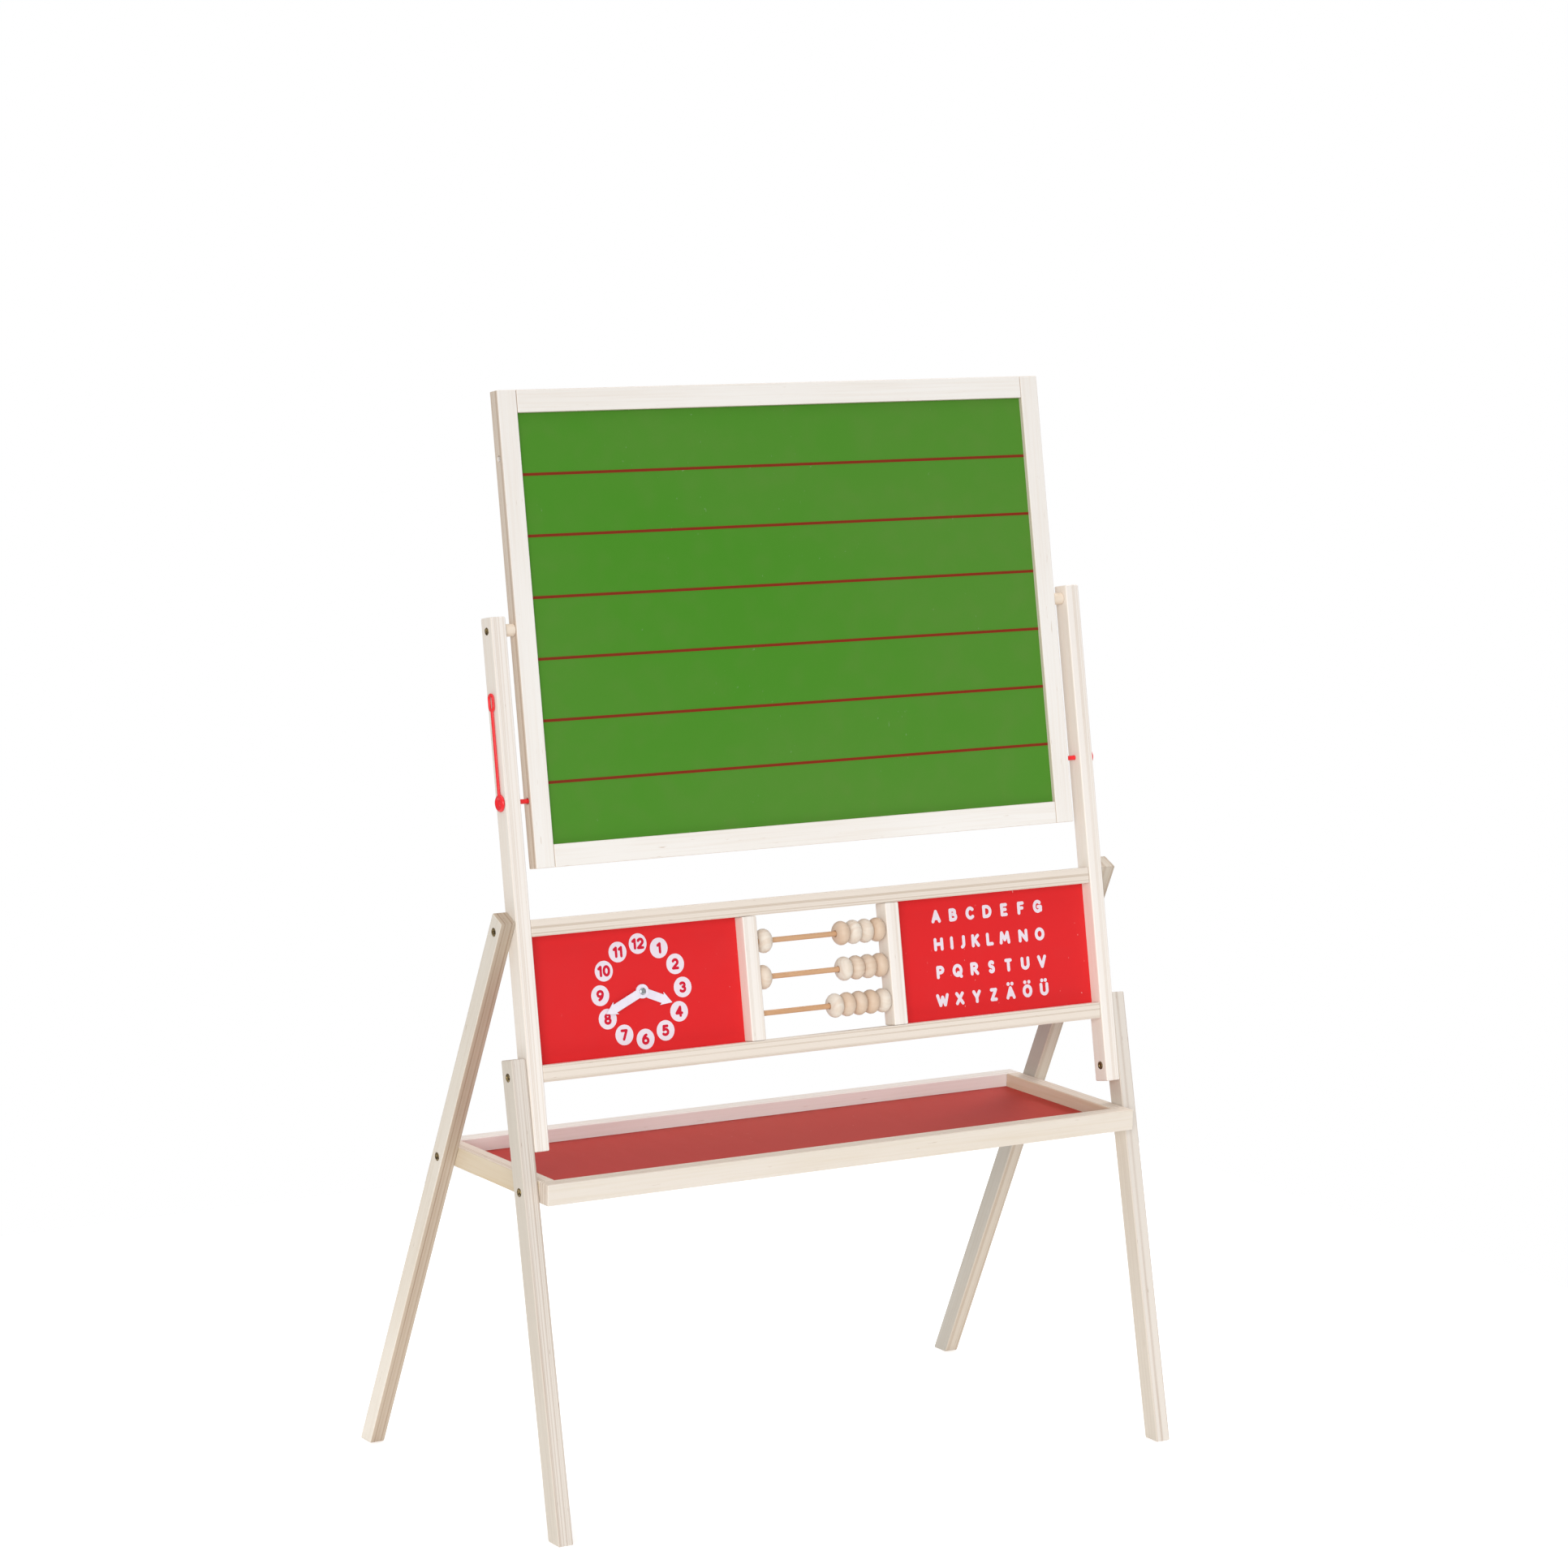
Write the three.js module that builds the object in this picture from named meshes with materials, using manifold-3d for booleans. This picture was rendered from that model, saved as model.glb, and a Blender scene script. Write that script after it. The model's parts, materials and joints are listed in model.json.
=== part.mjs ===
// Child's free-standing easel: a two-sided board that turns between two uprights, a lower frame
// with a toy clock, a counting frame and an alphabet panel, and a tray held between splayed legs.
// Millimetres, +Z up, the front faces -Y, X runs left to right, the floor is z = 0.
import * as THREE from 'three';
import { mergeVertices } from 'three/addons/utils/BufferGeometryUtils.js';
import Module from 'manifold-3d';

const wasm = await Module();
wasm.setup();

const rad = THREE.MathUtils.degToRad;

// Overall size and stock
const WIDTH = 830;
const DEPTH = 470;
const GAP = 0.3; // left between faces that meet
const STOCK = 18.5; // board thickness of legs, uprights and rails
const STOCK_DEPTH = 23.5; // width of a leg or an upright seen from the side
const EDGE = 1.6; // radius of the eased long edges

// Side view: how far each member leans, and how long it is
const FRONT_LEAN = rad(12.7);
const UPRIGHT_LEAN = rad(10.9);
const REAR_LEAN = rad(24.47);
const FRONT_LEG_TOP = 533;
const REAR_LEG_LENGTH = 737.4;
const REAR_LEG_DEPTH = 23;
const LAP_HEIGHT = 484; // along the front leg, to the middle of its lap with the upright
const LAP_OFFSET = -1.5; // the upright's middle stands this far ahead of the leg's there
const UPRIGHT_BOTTOM = 430;
const UPRIGHT_TOP = 1018;

// Planes across the width, all as distances from the middle
const LEG_OUT = WIDTH / 2;
const LEG_IN = LEG_OUT - STOCK;
const UPRIGHT_OUT = LEG_IN - GAP;
const UPRIGHT_IN = UPRIGHT_OUT - STOCK;

// Turning board, in the uprights' own frame: x across, y from front to back, z up the upright
const UPRIGHT_MID = STOCK_DEPTH / 2;
const PIVOT = 1003;
const BOARD_HALF_WIDTH = 363.2;
const BOARD_HALF_HEIGHT = 264;
const BOARD_THICKNESS = 16.8;
const STILE_WIDTH = 24;
const BOARD_RAIL_WIDTH = 25.4;
const PANEL_THICKNESS = 2.75; // of each of the board's two skins
const GROOVE = 5; // depth of the grooves that hold panels

// Pivot screws, spacers and lock pins
const SPACER_RADIUS = 7;
const PIVOT_SHANK = 2.7;
const PIVOT_DEPTH = 16; // how far the screw reaches into the stile
const LOCK_DROP = 189; // the lock pins below the pivot
const PIN_RADIUS = 2.7;
const PIN_DEPTH = 12; // how far a pin reaches into the stile
const PIN_HOLE_RADIUS = 3.8; // in the stile
const PIN_HEAD_RADIUS = 9.75;
const PIN_HEAD_HEIGHT = 3.5;
const ARM_WIDTH = 4;
const ARM_THICKNESS = 3;
const LOOP_MIDDLE = 110.5; // above the pin
const LOOP_WIDTH = 12;
const LOOP_HEIGHT = 21;
const SLOT_WIDTH = 5.6;
const SLOT_HEIGHT = 11.5;

// Lower frame between the uprights
const MID_BOTTOM = 505;
const MID_TOP = 683.5;
const MID_RAIL = 18.5; // rail thickness up the upright
const MID_DEPTH = 21.2;
const DIVIDER_OUT = 105.6;
const DIVIDER_IN = 87.2;
const SIGN_FACE = 17.7; // front of the two printed panels, behind the uprights' front
const SIGN_THICKNESS = 3.2;

// Counting frame
const ROD_RADIUS = 3.1;
const ROD_SPACING = 40.8;
const ROD_SOCKET = 8; // how far a rod's end reaches into a divider
const BEAD_RADIUS = 14;
const BEAD_WIDTH = 15.9;
const BEAD_BORE = 3.6;
const BEAD_ROUND = 5.5; // rounding of a bead's rim
const BEAD_PITCH = BEAD_WIDTH + GAP;
const BEAD_LAST = DIVIDER_IN - GAP - BEAD_WIDTH / 2;
const BEADS_PER_ROD = 5;
// each row, from the top: its name, and where its lone left bead rests, or null where all are right
const BEAD_ROWS = [
  ['top', -74.5],
  ['mid', -BEAD_LAST],
  ['low', null],
];

// Toy clock
const CLOCK_X = -235;
const CLOCK_Z = 592.5;
const HAND_THICKNESS = 1;
const HAND_WIDTH = 9.8;
const HAND_HEAD_WIDTH = 15.4;
const HUB_RADIUS = 8;
const HUB_BORE = 2.4;
const RIVET_RADIUS = 2;
const RIVET_HEAD_RADIUS = 4;
const RIVET_HEAD_HEIGHT = 1.6;
const RIVET_BACK_RADIUS = 5;
const RIVET_BACK_HEIGHT = 1;
// each hand: its length, where its arrowhead starts, and its direction from 3 o'clock, upward positive
const HOUR_HAND = { length: 41, neck: 28, angle: rad(-22.5), layer: 1 };
const MINUTE_HAND = { length: 53, neck: 40.3, angle: rad(-156.4), layer: 2 };

// Tray, level, in the easel's own frame
const TRAY_TOP = 388.4;
const TRAY_BOTTOM = 364.3;
const TRAY_FRONT = -169.2;
const TRAY_BACK = 84;
const TRAY_RAIL = 19;
const TRAY_FLOOR_TOP = 372.5;
const TRAY_FLOOR_THICKNESS = 3.2;

// Socket-head bolts
const BOLT_HEAD = 4.4;
const BOLT_PROUD = 0.4;
const BOLT_SUNK = 0.9;
const BOLT_SHANK = 2.6;
const BOLT_REACH = 31;
const BOLT_SOCKET = 2.3;
const BOLT_SOCKET_DEPTH = 1.1;
const SEAT_RADIUS = 4.9;
const SEAT_DEPTH = 1.2;
const ROUND_SIDES = 16;

// ---------------------------------------------------------------- materials
const finish = (color, roughness, metalness = 0) =>
  new THREE.MeshStandardMaterial({ color, roughness, metalness });

const plywood = finish('#efe6dc', 0.62);
const boardWood = finish('#f1ebe7', 0.55);
const green = finish('#4e8a2d', 0.7);
const white = finish('#f3f3f1', 0.3);
const red = finish('#e03438', 0.5);
const trayRed = finish('#b84b46', 0.55);
const pinRed = finish('#eb3c41', 0.35);
const handWhite = finish('#e8e2ec', 0.45);
const rodWood = finish('#d8ae7f', 0.6);
const beadWood = finish('#e6d2b4', 0.5);
const brass = finish('#7d6b45', 0.4, 0.9);
const steel = finish('#c8ccd0', 0.25, 1);

// ---------------------------------------------------------------- solids
function toSolid(geometry) {
  const bare = geometry.clone();
  bare.deleteAttribute('normal');
  bare.deleteAttribute('uv');
  const merged = mergeVertices(bare, 1e-4);
  return new wasm.Manifold(
    new wasm.Mesh({
      numProp: 3,
      vertProperties: new Float32Array(merged.attributes.position.array),
      triVerts: new Uint32Array(merged.index.array),
    }),
  );
}

function toGeometry(solid) {
  const { vertProperties, triVerts } = solid.getMesh();
  const geometry = new THREE.BufferGeometry();
  geometry.setAttribute('position', new THREE.BufferAttribute(vertProperties, 3));
  geometry.setIndex(new THREE.BufferAttribute(triVerts, 1));
  return geometry;
}

function cut(geometry, ...tools) {
  return toGeometry(tools.reduce((left, tool) => left.subtract(toSolid(tool)), toSolid(geometry)));
}

function join(first, ...others) {
  return toGeometry(others.reduce((sum, other) => sum.add(toSolid(other)), toSolid(first)));
}

// a box given by its lowest and highest corners
function box(low, high) {
  const size = low.map((value, i) => high[i] - value);
  const middle = low.map((value, i) => (high[i] + value) / 2);
  return new THREE.BoxGeometry(...size).translate(...middle);
}

// a round bar along X from one x to another, at a height and depth
function barAlongX(radius, from, to, y, z, sides = ROUND_SIDES) {
  return new THREE.CylinderGeometry(radius, radius, Math.abs(to - from), sides)
    .rotateZ(Math.PI / 2)
    .translate((from + to) / 2, y, z);
}

// a rectangle about the origin whose corners are rounded, or half-round ends where radius is large
function roundedShape(width, height, radius) {
  const r = Math.min(radius, width / 2 - 1e-3, height / 2 - 1e-3);
  const x = width / 2 - r;
  const y = height / 2 - r;
  const shape = new THREE.Shape();
  shape.absarc(x, y, r, 0, Math.PI / 2);
  shape.absarc(-x, y, r, Math.PI / 2, Math.PI);
  shape.absarc(-x, -y, r, Math.PI, 1.5 * Math.PI);
  shape.absarc(x, -y, r, 1.5 * Math.PI, 2 * Math.PI);
  return shape;
}

// square stock with eased long edges between two corners, running along the axis named
function stock(low, high, axis) {
  const [sx, sy, sz] = low.map((value, i) => high[i] - value);
  const middle = low.map((value, i) => (high[i] + value) / 2);
  const across = { x: [sz, sy, sx], y: [sx, sz, sy], z: [sx, sy, sz] }[axis];
  const bar = new THREE.ExtrudeGeometry(roundedShape(across[0], across[1], EDGE), {
    depth: across[2],
    bevelEnabled: false,
    curveSegments: 2,
  }).translate(0, 0, -across[2] / 2);
  if (axis === 'x') {
    bar.rotateY(Math.PI / 2);
  }
  if (axis === 'y') {
    bar.rotateX(Math.PI / 2);
  }
  return bar.translate(...middle);
}

// a flat plate of a shape drawn in x and z, from one y to another
function plate(shape, front, back) {
  return new THREE.ExtrudeGeometry(shape, {
    depth: back - front,
    bevelEnabled: false,
    curveSegments: 8,
  })
    .rotateX(Math.PI / 2)
    .translate(0, back, 0);
}

// ---------------------------------------------------------------- frames of reference
const easel = new THREE.Group();

// each frame's origin is a member's lower front edge on its own line, with its z up the member
const frontLegFrame = new THREE.Group();
frontLegFrame.position.set(0, -DEPTH / 2, 0);
frontLegFrame.rotation.x = -FRONT_LEAN;

const uprightFrame = new THREE.Group();
uprightFrame.rotation.x = -UPRIGHT_LEAN;
const lap = new THREE.Vector3(0, UPRIGHT_MID, LAP_HEIGHT)
  .applyEuler(frontLegFrame.rotation)
  .add(frontLegFrame.position);
uprightFrame.position.copy(
  lap.sub(
    new THREE.Vector3(0, UPRIGHT_MID - LAP_OFFSET, LAP_HEIGHT).applyEuler(uprightFrame.rotation),
  ),
);

const rearLegFrame = new THREE.Group();
rearLegFrame.rotation.x = REAR_LEAN;
rearLegFrame.position.set(0, DEPTH / 2 - REAR_LEG_DEPTH / 2 / Math.cos(REAR_LEAN), 0);

easel.add(frontLegFrame, uprightFrame, rearLegFrame);
easel.updateMatrixWorld(true);

const SIDES = [
  ['left', -1],
  ['right', 1],
];

function place(parent, name, geometry, material) {
  const mesh = new THREE.Mesh(geometry, material);
  mesh.name = name;
  parent.add(mesh);
  return mesh;
}

// two distances from the middle as a low and a high x on one side
const span = (side, near, far) => (side < 0 ? [-far, -near] : [near, far]);

// ---------------------------------------------------------------- bolts
// every bolt runs along X; at is where its axis lies, in the named frame, as [y, z]
const BOLTS = [
  ['leg_upper_bolt', frontLegFrame, [UPRIGHT_MID, 513.7], 'outside'],
  ['leg_lower_bolt', uprightFrame, [UPRIGHT_MID, 448.6], 'inside'],
  ['rear_leg_bolt', rearLegFrame, [0, REAR_LEG_LENGTH - 17.9], 'outside'],
  ['tray_front_bolt', frontLegFrame, [UPRIGHT_MID, 387.9], 'outside'],
  ['tray_rear_bolt', rearLegFrame, [0, REAR_LEG_LENGTH - 324], 'outside'],
].map(([name, frame, [y, z], from]) => {
  const inward = from === 'outside';
  const face = inward ? LEG_OUT : UPRIGHT_IN;
  const tip = inward ? LEG_OUT - BOLT_REACH : UPRIGHT_IN + BOLT_REACH;
  return { name, axis: frame.localToWorld(new THREE.Vector3(0, y, z)), face, tip, outward: inward ? 1 : -1 };
});

// the holes that the bolts need in a member of one frame, on one side, between two distances out
function boltHoles(frame, side, names) {
  return BOLTS.filter((bolt) => names.includes(bolt.name)).flatMap((bolt) => {
    const at = frame.worldToLocal(bolt.axis.clone());
    const { face, tip, outward } = bolt;
    const shank = barAlongX(
      BOLT_SHANK + GAP,
      side * (face + outward),
      side * (tip - outward * GAP),
      at.y,
      at.z,
    );
    const seat = barAlongX(
      SEAT_RADIUS,
      side * (face + outward),
      side * (face - outward * SEAT_DEPTH),
      at.y,
      at.z,
    );
    return [shank, seat];
  });
}

// head sunk in its seat, hexagon socket, plain shank
function bolt(side, { face, tip, outward }) {
  const top = face + outward * BOLT_PROUD;
  const head = barAlongX(BOLT_HEAD, side * top, side * (face - outward * BOLT_SUNK), 0, 0);
  const shank = barAlongX(BOLT_SHANK, side * (face - outward * 0.5), side * tip, 0, 0, 12);
  const socket = barAlongX(
    BOLT_SOCKET,
    side * (top + outward),
    side * (top - outward * BOLT_SOCKET_DEPTH),
    0,
    0,
    6,
  );
  return cut(join(head, shank), socket);
}

// ---------------------------------------------------------------- legs and uprights
function frontLeg(side) {
  const [low, high] = span(side, LEG_IN, LEG_OUT);
  const length = stock([low, 0, -20], [high, STOCK_DEPTH, FRONT_LEG_TOP], 'z');
  const floor = box([low - 5, -60, -60], [high + 5, 60, 0])
    .rotateX(FRONT_LEAN);
  return cut(length, floor, ...boltHoles(frontLegFrame, side, [
    'leg_upper_bolt',
    'leg_lower_bolt',
    'tray_front_bolt',
  ]));
}

function rearLeg(side) {
  const [low, high] = span(side, LEG_IN, LEG_OUT);
  const half = REAR_LEG_DEPTH / 2;
  const length = stock([low, -half, -20], [high, half, REAR_LEG_LENGTH], 'z');
  const floor = box([low - 5, -60, -60], [high + 5, 60, 0])
    .rotateX(-REAR_LEAN);
  return cut(length, floor, ...boltHoles(rearLegFrame, side, ['rear_leg_bolt', 'tray_rear_bolt']));
}

function upright(side) {
  const [low, high] = span(side, UPRIGHT_IN, UPRIGHT_OUT);
  const length = stock([low, 0, UPRIGHT_BOTTOM], [high, STOCK_DEPTH, UPRIGHT_TOP], 'z');
  const out = side * (UPRIGHT_OUT + 1);
  const past = side * (UPRIGHT_IN - 1);
  const seat = side * (UPRIGHT_OUT - SEAT_DEPTH);
  return cut(
    length,
    barAlongX(PIVOT_SHANK + GAP, out, past, UPRIGHT_MID, PIVOT),
    barAlongX(SEAT_RADIUS, out, seat, UPRIGHT_MID, PIVOT),
    barAlongX(PIN_RADIUS + GAP, out, past, UPRIGHT_MID, PIVOT - LOCK_DROP),
    signGroove(side),
    ...boltHoles(uprightFrame, side, ['leg_upper_bolt', 'leg_lower_bolt', 'rear_leg_bolt']),
  );
}

// ---------------------------------------------------------------- turning board
const BOARD_FRONT = UPRIGHT_MID - BOARD_THICKNESS / 2;
const BOARD_BACK = UPRIGHT_MID + BOARD_THICKNESS / 2;
const SKIN_HALF_WIDTH = BOARD_HALF_WIDTH - STILE_WIDTH + GROOVE;
const SKIN_HALF_HEIGHT = BOARD_HALF_HEIGHT - BOARD_RAIL_WIDTH + GROOVE;
const SKINS_HALF = PANEL_THICKNESS + GAP / 2;

function boardGroove() {
  return box(
    [-SKIN_HALF_WIDTH - GAP, UPRIGHT_MID - SKINS_HALF - GAP, PIVOT - SKIN_HALF_HEIGHT - GAP],
    [SKIN_HALF_WIDTH + GAP, UPRIGHT_MID + SKINS_HALF + GAP, PIVOT + SKIN_HALF_HEIGHT + GAP],
  );
}

function boardStile(side) {
  const [low, high] = span(side, BOARD_HALF_WIDTH - STILE_WIDTH, BOARD_HALF_WIDTH);
  const length = stock(
    [low, BOARD_FRONT, PIVOT - BOARD_HALF_HEIGHT],
    [high, BOARD_BACK, PIVOT + BOARD_HALF_HEIGHT],
    'z',
  );
  const out = side * (BOARD_HALF_WIDTH + 1);
  const pinEnd = side * (BOARD_HALF_WIDTH - PIN_DEPTH - 1);
  return cut(
    length,
    boardGroove(),
    barAlongX(PIVOT_SHANK + GAP, out, side * (BOARD_HALF_WIDTH - PIVOT_DEPTH - GAP), UPRIGHT_MID, PIVOT),
    barAlongX(PIN_HOLE_RADIUS, out, pinEnd, UPRIGHT_MID, PIVOT - LOCK_DROP),
    barAlongX(PIN_HOLE_RADIUS, out, pinEnd, UPRIGHT_MID, PIVOT + LOCK_DROP),
  );
}

// edge is -1 for the bottom rail and 1 for the top one
function boardRail(edge) {
  const reach = BOARD_HALF_WIDTH - STILE_WIDTH - GAP;
  const near = PIVOT + edge * (BOARD_HALF_HEIGHT - BOARD_RAIL_WIDTH);
  const far = PIVOT + edge * BOARD_HALF_HEIGHT;
  const length = stock(
    [-reach, BOARD_FRONT, Math.min(near, far)],
    [reach, BOARD_BACK, Math.max(near, far)],
    'x',
  );
  return cut(length, boardGroove());
}

function boardSkin(face) {
  const inner = UPRIGHT_MID + face * (GAP / 2);
  const outer = UPRIGHT_MID + face * SKINS_HALF;
  return box(
    [-SKIN_HALF_WIDTH, Math.min(inner, outer), PIVOT - SKIN_HALF_HEIGHT],
    [SKIN_HALF_WIDTH, Math.max(inner, outer), PIVOT + SKIN_HALF_HEIGHT],
  );
}

function pivotSpacer(side) {
  const near = side * (BOARD_HALF_WIDTH + GAP);
  const far = side * (UPRIGHT_IN - GAP);
  const body = barAlongX(SPACER_RADIUS, near, far, UPRIGHT_MID, PIVOT, 24);
  return cut(body, barAlongX(PIVOT_SHANK + GAP, near - side, far + side, UPRIGHT_MID, PIVOT));
}

function pivotScrew(side) {
  const face = UPRIGHT_OUT;
  return bolt(side, { face, tip: BOARD_HALF_WIDTH - PIVOT_DEPTH, outward: 1 })
    .translate(0, UPRIGHT_MID, PIVOT);
}

// ---------------------------------------------------------------- lock pins
// a plug with a domed head, and a flat arm up the upright that ends in a pull loop
function lockPin(side) {
  const seat = UPRIGHT_OUT + GAP;
  const dome = new THREE.LatheGeometry(
    [
      new THREE.Vector2(0, 0),
      new THREE.Vector2(PIN_HEAD_RADIUS, 0),
      new THREE.Vector2(PIN_HEAD_RADIUS, 1.2),
      new THREE.Vector2(PIN_HEAD_RADIUS - 1.2, 2.4),
      new THREE.Vector2(PIN_HEAD_RADIUS - 4, PIN_HEAD_HEIGHT - 0.2),
      new THREE.Vector2(0, PIN_HEAD_HEIGHT),
    ],
    20,
  )
    .rotateZ(-side * (Math.PI / 2))
    .translate(side * seat, 0, 0);
  const plug = barAlongX(PIN_RADIUS, side * (seat + 1), side * (BOARD_HALF_WIDTH - PIN_DEPTH), 0, 0);
  const [low, high] = span(side, seat, seat + ARM_THICKNESS);
  const arm = box(
    [low, -ARM_WIDTH / 2, PIN_HEAD_RADIUS - 3],
    [high, ARM_WIDTH / 2, LOOP_MIDDLE - SLOT_HEIGHT / 2 - 1.5],
  );
  const ring = roundedShape(LOOP_WIDTH, LOOP_HEIGHT, LOOP_WIDTH);
  ring.holes.push(roundedShape(SLOT_WIDTH, SLOT_HEIGHT, SLOT_WIDTH));
  const loop = new THREE.ExtrudeGeometry(ring, {
    depth: ARM_THICKNESS,
    bevelEnabled: false,
    curveSegments: 5,
  })
    .rotateZ(Math.PI / 2)
    .rotateY(Math.PI / 2)
    .translate(low, 0, LOOP_MIDDLE);
  return join(dome, plug, arm, loop).translate(0, UPRIGHT_MID, PIVOT - LOCK_DROP);
}

// ---------------------------------------------------------------- lower frame
const MID_FRONT = UPRIGHT_MID - MID_DEPTH / 2;
const MID_BACK = UPRIGHT_MID + MID_DEPTH / 2;
const OPENING_LOW = MID_BOTTOM + MID_RAIL;
const OPENING_HIGH = MID_TOP - MID_RAIL;
const MID_ROD = (OPENING_LOW + OPENING_HIGH) / 2;

// the clock panel lies left of the counting frame and the alphabet panel right of it
function signPanel(side, slack = 0) {
  const [low, high] = span(side, DIVIDER_OUT - GROOVE - slack, UPRIGHT_IN + GROOVE + slack);
  return box(
    [low, SIGN_FACE - slack, OPENING_LOW - GROOVE - slack],
    [high, SIGN_FACE + SIGN_THICKNESS + slack, OPENING_HIGH + GROOVE + slack],
  );
}

const signGroove = (side) => signPanel(side, GAP);

function midRail(low) {
  const reach = UPRIGHT_IN - GAP;
  const length = stock([-reach, MID_FRONT, low], [reach, MID_BACK, low + MID_RAIL], 'x');
  return cut(length, signGroove(-1), signGroove(1));
}

const rodHeights = BEAD_ROWS.map((row, i) => MID_ROD + (1 - i) * ROD_SPACING);

function divider(side) {
  const [low, high] = span(side, DIVIDER_IN, DIVIDER_OUT);
  const length = stock(
    [low, MID_FRONT, OPENING_LOW + GAP],
    [high, MID_BACK, OPENING_HIGH - GAP],
    'z',
  );
  const sockets = rodHeights.map((height) =>
    barAlongX(
      ROD_RADIUS + GAP,
      side * (DIVIDER_IN - 1),
      side * (DIVIDER_IN + ROD_SOCKET + GAP),
      UPRIGHT_MID,
      height,
    ),
  );
  return cut(length, signGroove(side), ...sockets);
}

// ---------------------------------------------------------------- counting frame
function rod(height) {
  const reach = DIVIDER_IN + ROD_SOCKET;
  return barAlongX(ROD_RADIUS, -reach, reach, UPRIGHT_MID, height, 16);
}

// a wooden bead about X: a ring with a rounded rim
function bead() {
  const half = BEAD_WIDTH / 2;
  const slope = BEAD_ROUND * Math.SQRT1_2;
  const waist = half - BEAD_ROUND;
  const rim = BEAD_RADIUS - BEAD_ROUND;
  const profile = [
    [BEAD_BORE, -half],
    [rim, -half],
    [rim + slope, -waist - slope],
    [BEAD_RADIUS, 0],
    [rim + slope, waist + slope],
    [rim, half],
    [BEAD_BORE, half],
    [BEAD_BORE, -half],
  ].map(([x, y]) => new THREE.Vector2(x, y));
  return new THREE.LatheGeometry(profile, 16).rotateZ(Math.PI / 2);
}

// where the beads of one row rest, from left to right
function beadPlaces(lone) {
  const count = lone === null ? BEADS_PER_ROD : BEADS_PER_ROD - 1;
  const row = Array.from({ length: count }, (_, i) => BEAD_LAST - (count - 1 - i) * BEAD_PITCH);
  return lone === null ? row : [lone, ...row];
}

// ---------------------------------------------------------------- toy clock
// an arrow that points along +X before it is turned, with a round hub
function handShape({ length, neck }) {
  const half = HAND_WIDTH / 2;
  const angle = Math.asin(half / HUB_RADIUS);
  const shape = new THREE.Shape();
  shape.absarc(0, 0, HUB_RADIUS, angle, 2 * Math.PI - angle);
  shape.lineTo(neck, -half);
  shape.lineTo(neck - 1.5, -HAND_HEAD_WIDTH / 2);
  shape.lineTo(length, 0);
  shape.lineTo(neck - 1.5, HAND_HEAD_WIDTH / 2);
  shape.lineTo(neck, half);
  const bore = new THREE.Path();
  bore.absarc(0, 0, HUB_BORE, 0, 2 * Math.PI);
  shape.holes.push(bore);
  return shape;
}

// layer 1 lies next to the panel, layer 2 over it
function clockHand(hand) {
  const back = SIGN_FACE - GAP - (hand.layer - 1) * (HAND_THICKNESS + GAP);
  return plate(handShape(hand), back - HAND_THICKNESS, back)
    .rotateY(-hand.angle)
    .translate(CLOCK_X, 0, CLOCK_Z);
}

// a domed head in front of the hands, a shank through the panel, and a flat back
function clockRivet() {
  const front = SIGN_FACE - 2 * (HAND_THICKNESS + GAP) - GAP;
  const back = SIGN_FACE + SIGN_THICKNESS + GAP;
  const profile = [
    [0, front - RIVET_HEAD_HEIGHT],
    [RIVET_HEAD_RADIUS * 0.6, front - RIVET_HEAD_HEIGHT * 0.8],
    [RIVET_HEAD_RADIUS * 0.92, front - RIVET_HEAD_HEIGHT * 0.35],
    [RIVET_HEAD_RADIUS, front],
    [RIVET_RADIUS, front],
    [RIVET_RADIUS, back],
    [RIVET_BACK_RADIUS, back],
    [RIVET_BACK_RADIUS, back + RIVET_BACK_HEIGHT],
    [0, back + RIVET_BACK_HEIGHT],
  ].map(([x, y]) => new THREE.Vector2(x, y));
  return new THREE.LatheGeometry(profile, ROUND_SIDES).translate(CLOCK_X, 0, CLOCK_Z);
}

function clockPanel() {
  const bore = new THREE.CylinderGeometry(HUB_BORE, HUB_BORE, 20, ROUND_SIDES)
    .translate(CLOCK_X, SIGN_FACE, CLOCK_Z);
  return cut(signPanel(-1), bore);
}

// ---------------------------------------------------------------- tray
const TRAY_OUT = UPRIGHT_OUT;
const TRAY_IN = TRAY_OUT - TRAY_RAIL;

function trayFloor(slack = 0) {
  const x = TRAY_IN + GROOVE + slack;
  return box(
    [-x, TRAY_FRONT + TRAY_RAIL - GROOVE - slack, TRAY_FLOOR_TOP - TRAY_FLOOR_THICKNESS - slack],
    [x, TRAY_BACK - TRAY_RAIL + GROOVE + slack, TRAY_FLOOR_TOP + slack],
  );
}

// a rail across the whole width, from its front face
function trayCrossRail(front) {
  const length = stock(
    [-TRAY_OUT, front, TRAY_BOTTOM],
    [TRAY_OUT, front + TRAY_RAIL, TRAY_TOP],
    'x',
  );
  return cut(length, trayFloor(GAP));
}

function traySideRail(side) {
  const [low, high] = span(side, TRAY_IN, TRAY_OUT);
  const length = stock(
    [low, TRAY_FRONT + TRAY_RAIL + GAP, TRAY_BOTTOM],
    [high, TRAY_BACK - TRAY_RAIL - GAP, TRAY_TOP],
    'y',
  );
  const holes = boltHoles(easel, side, ['tray_front_bolt', 'tray_rear_bolt']);
  return cut(length, trayFloor(GAP), ...holes);
}

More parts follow.
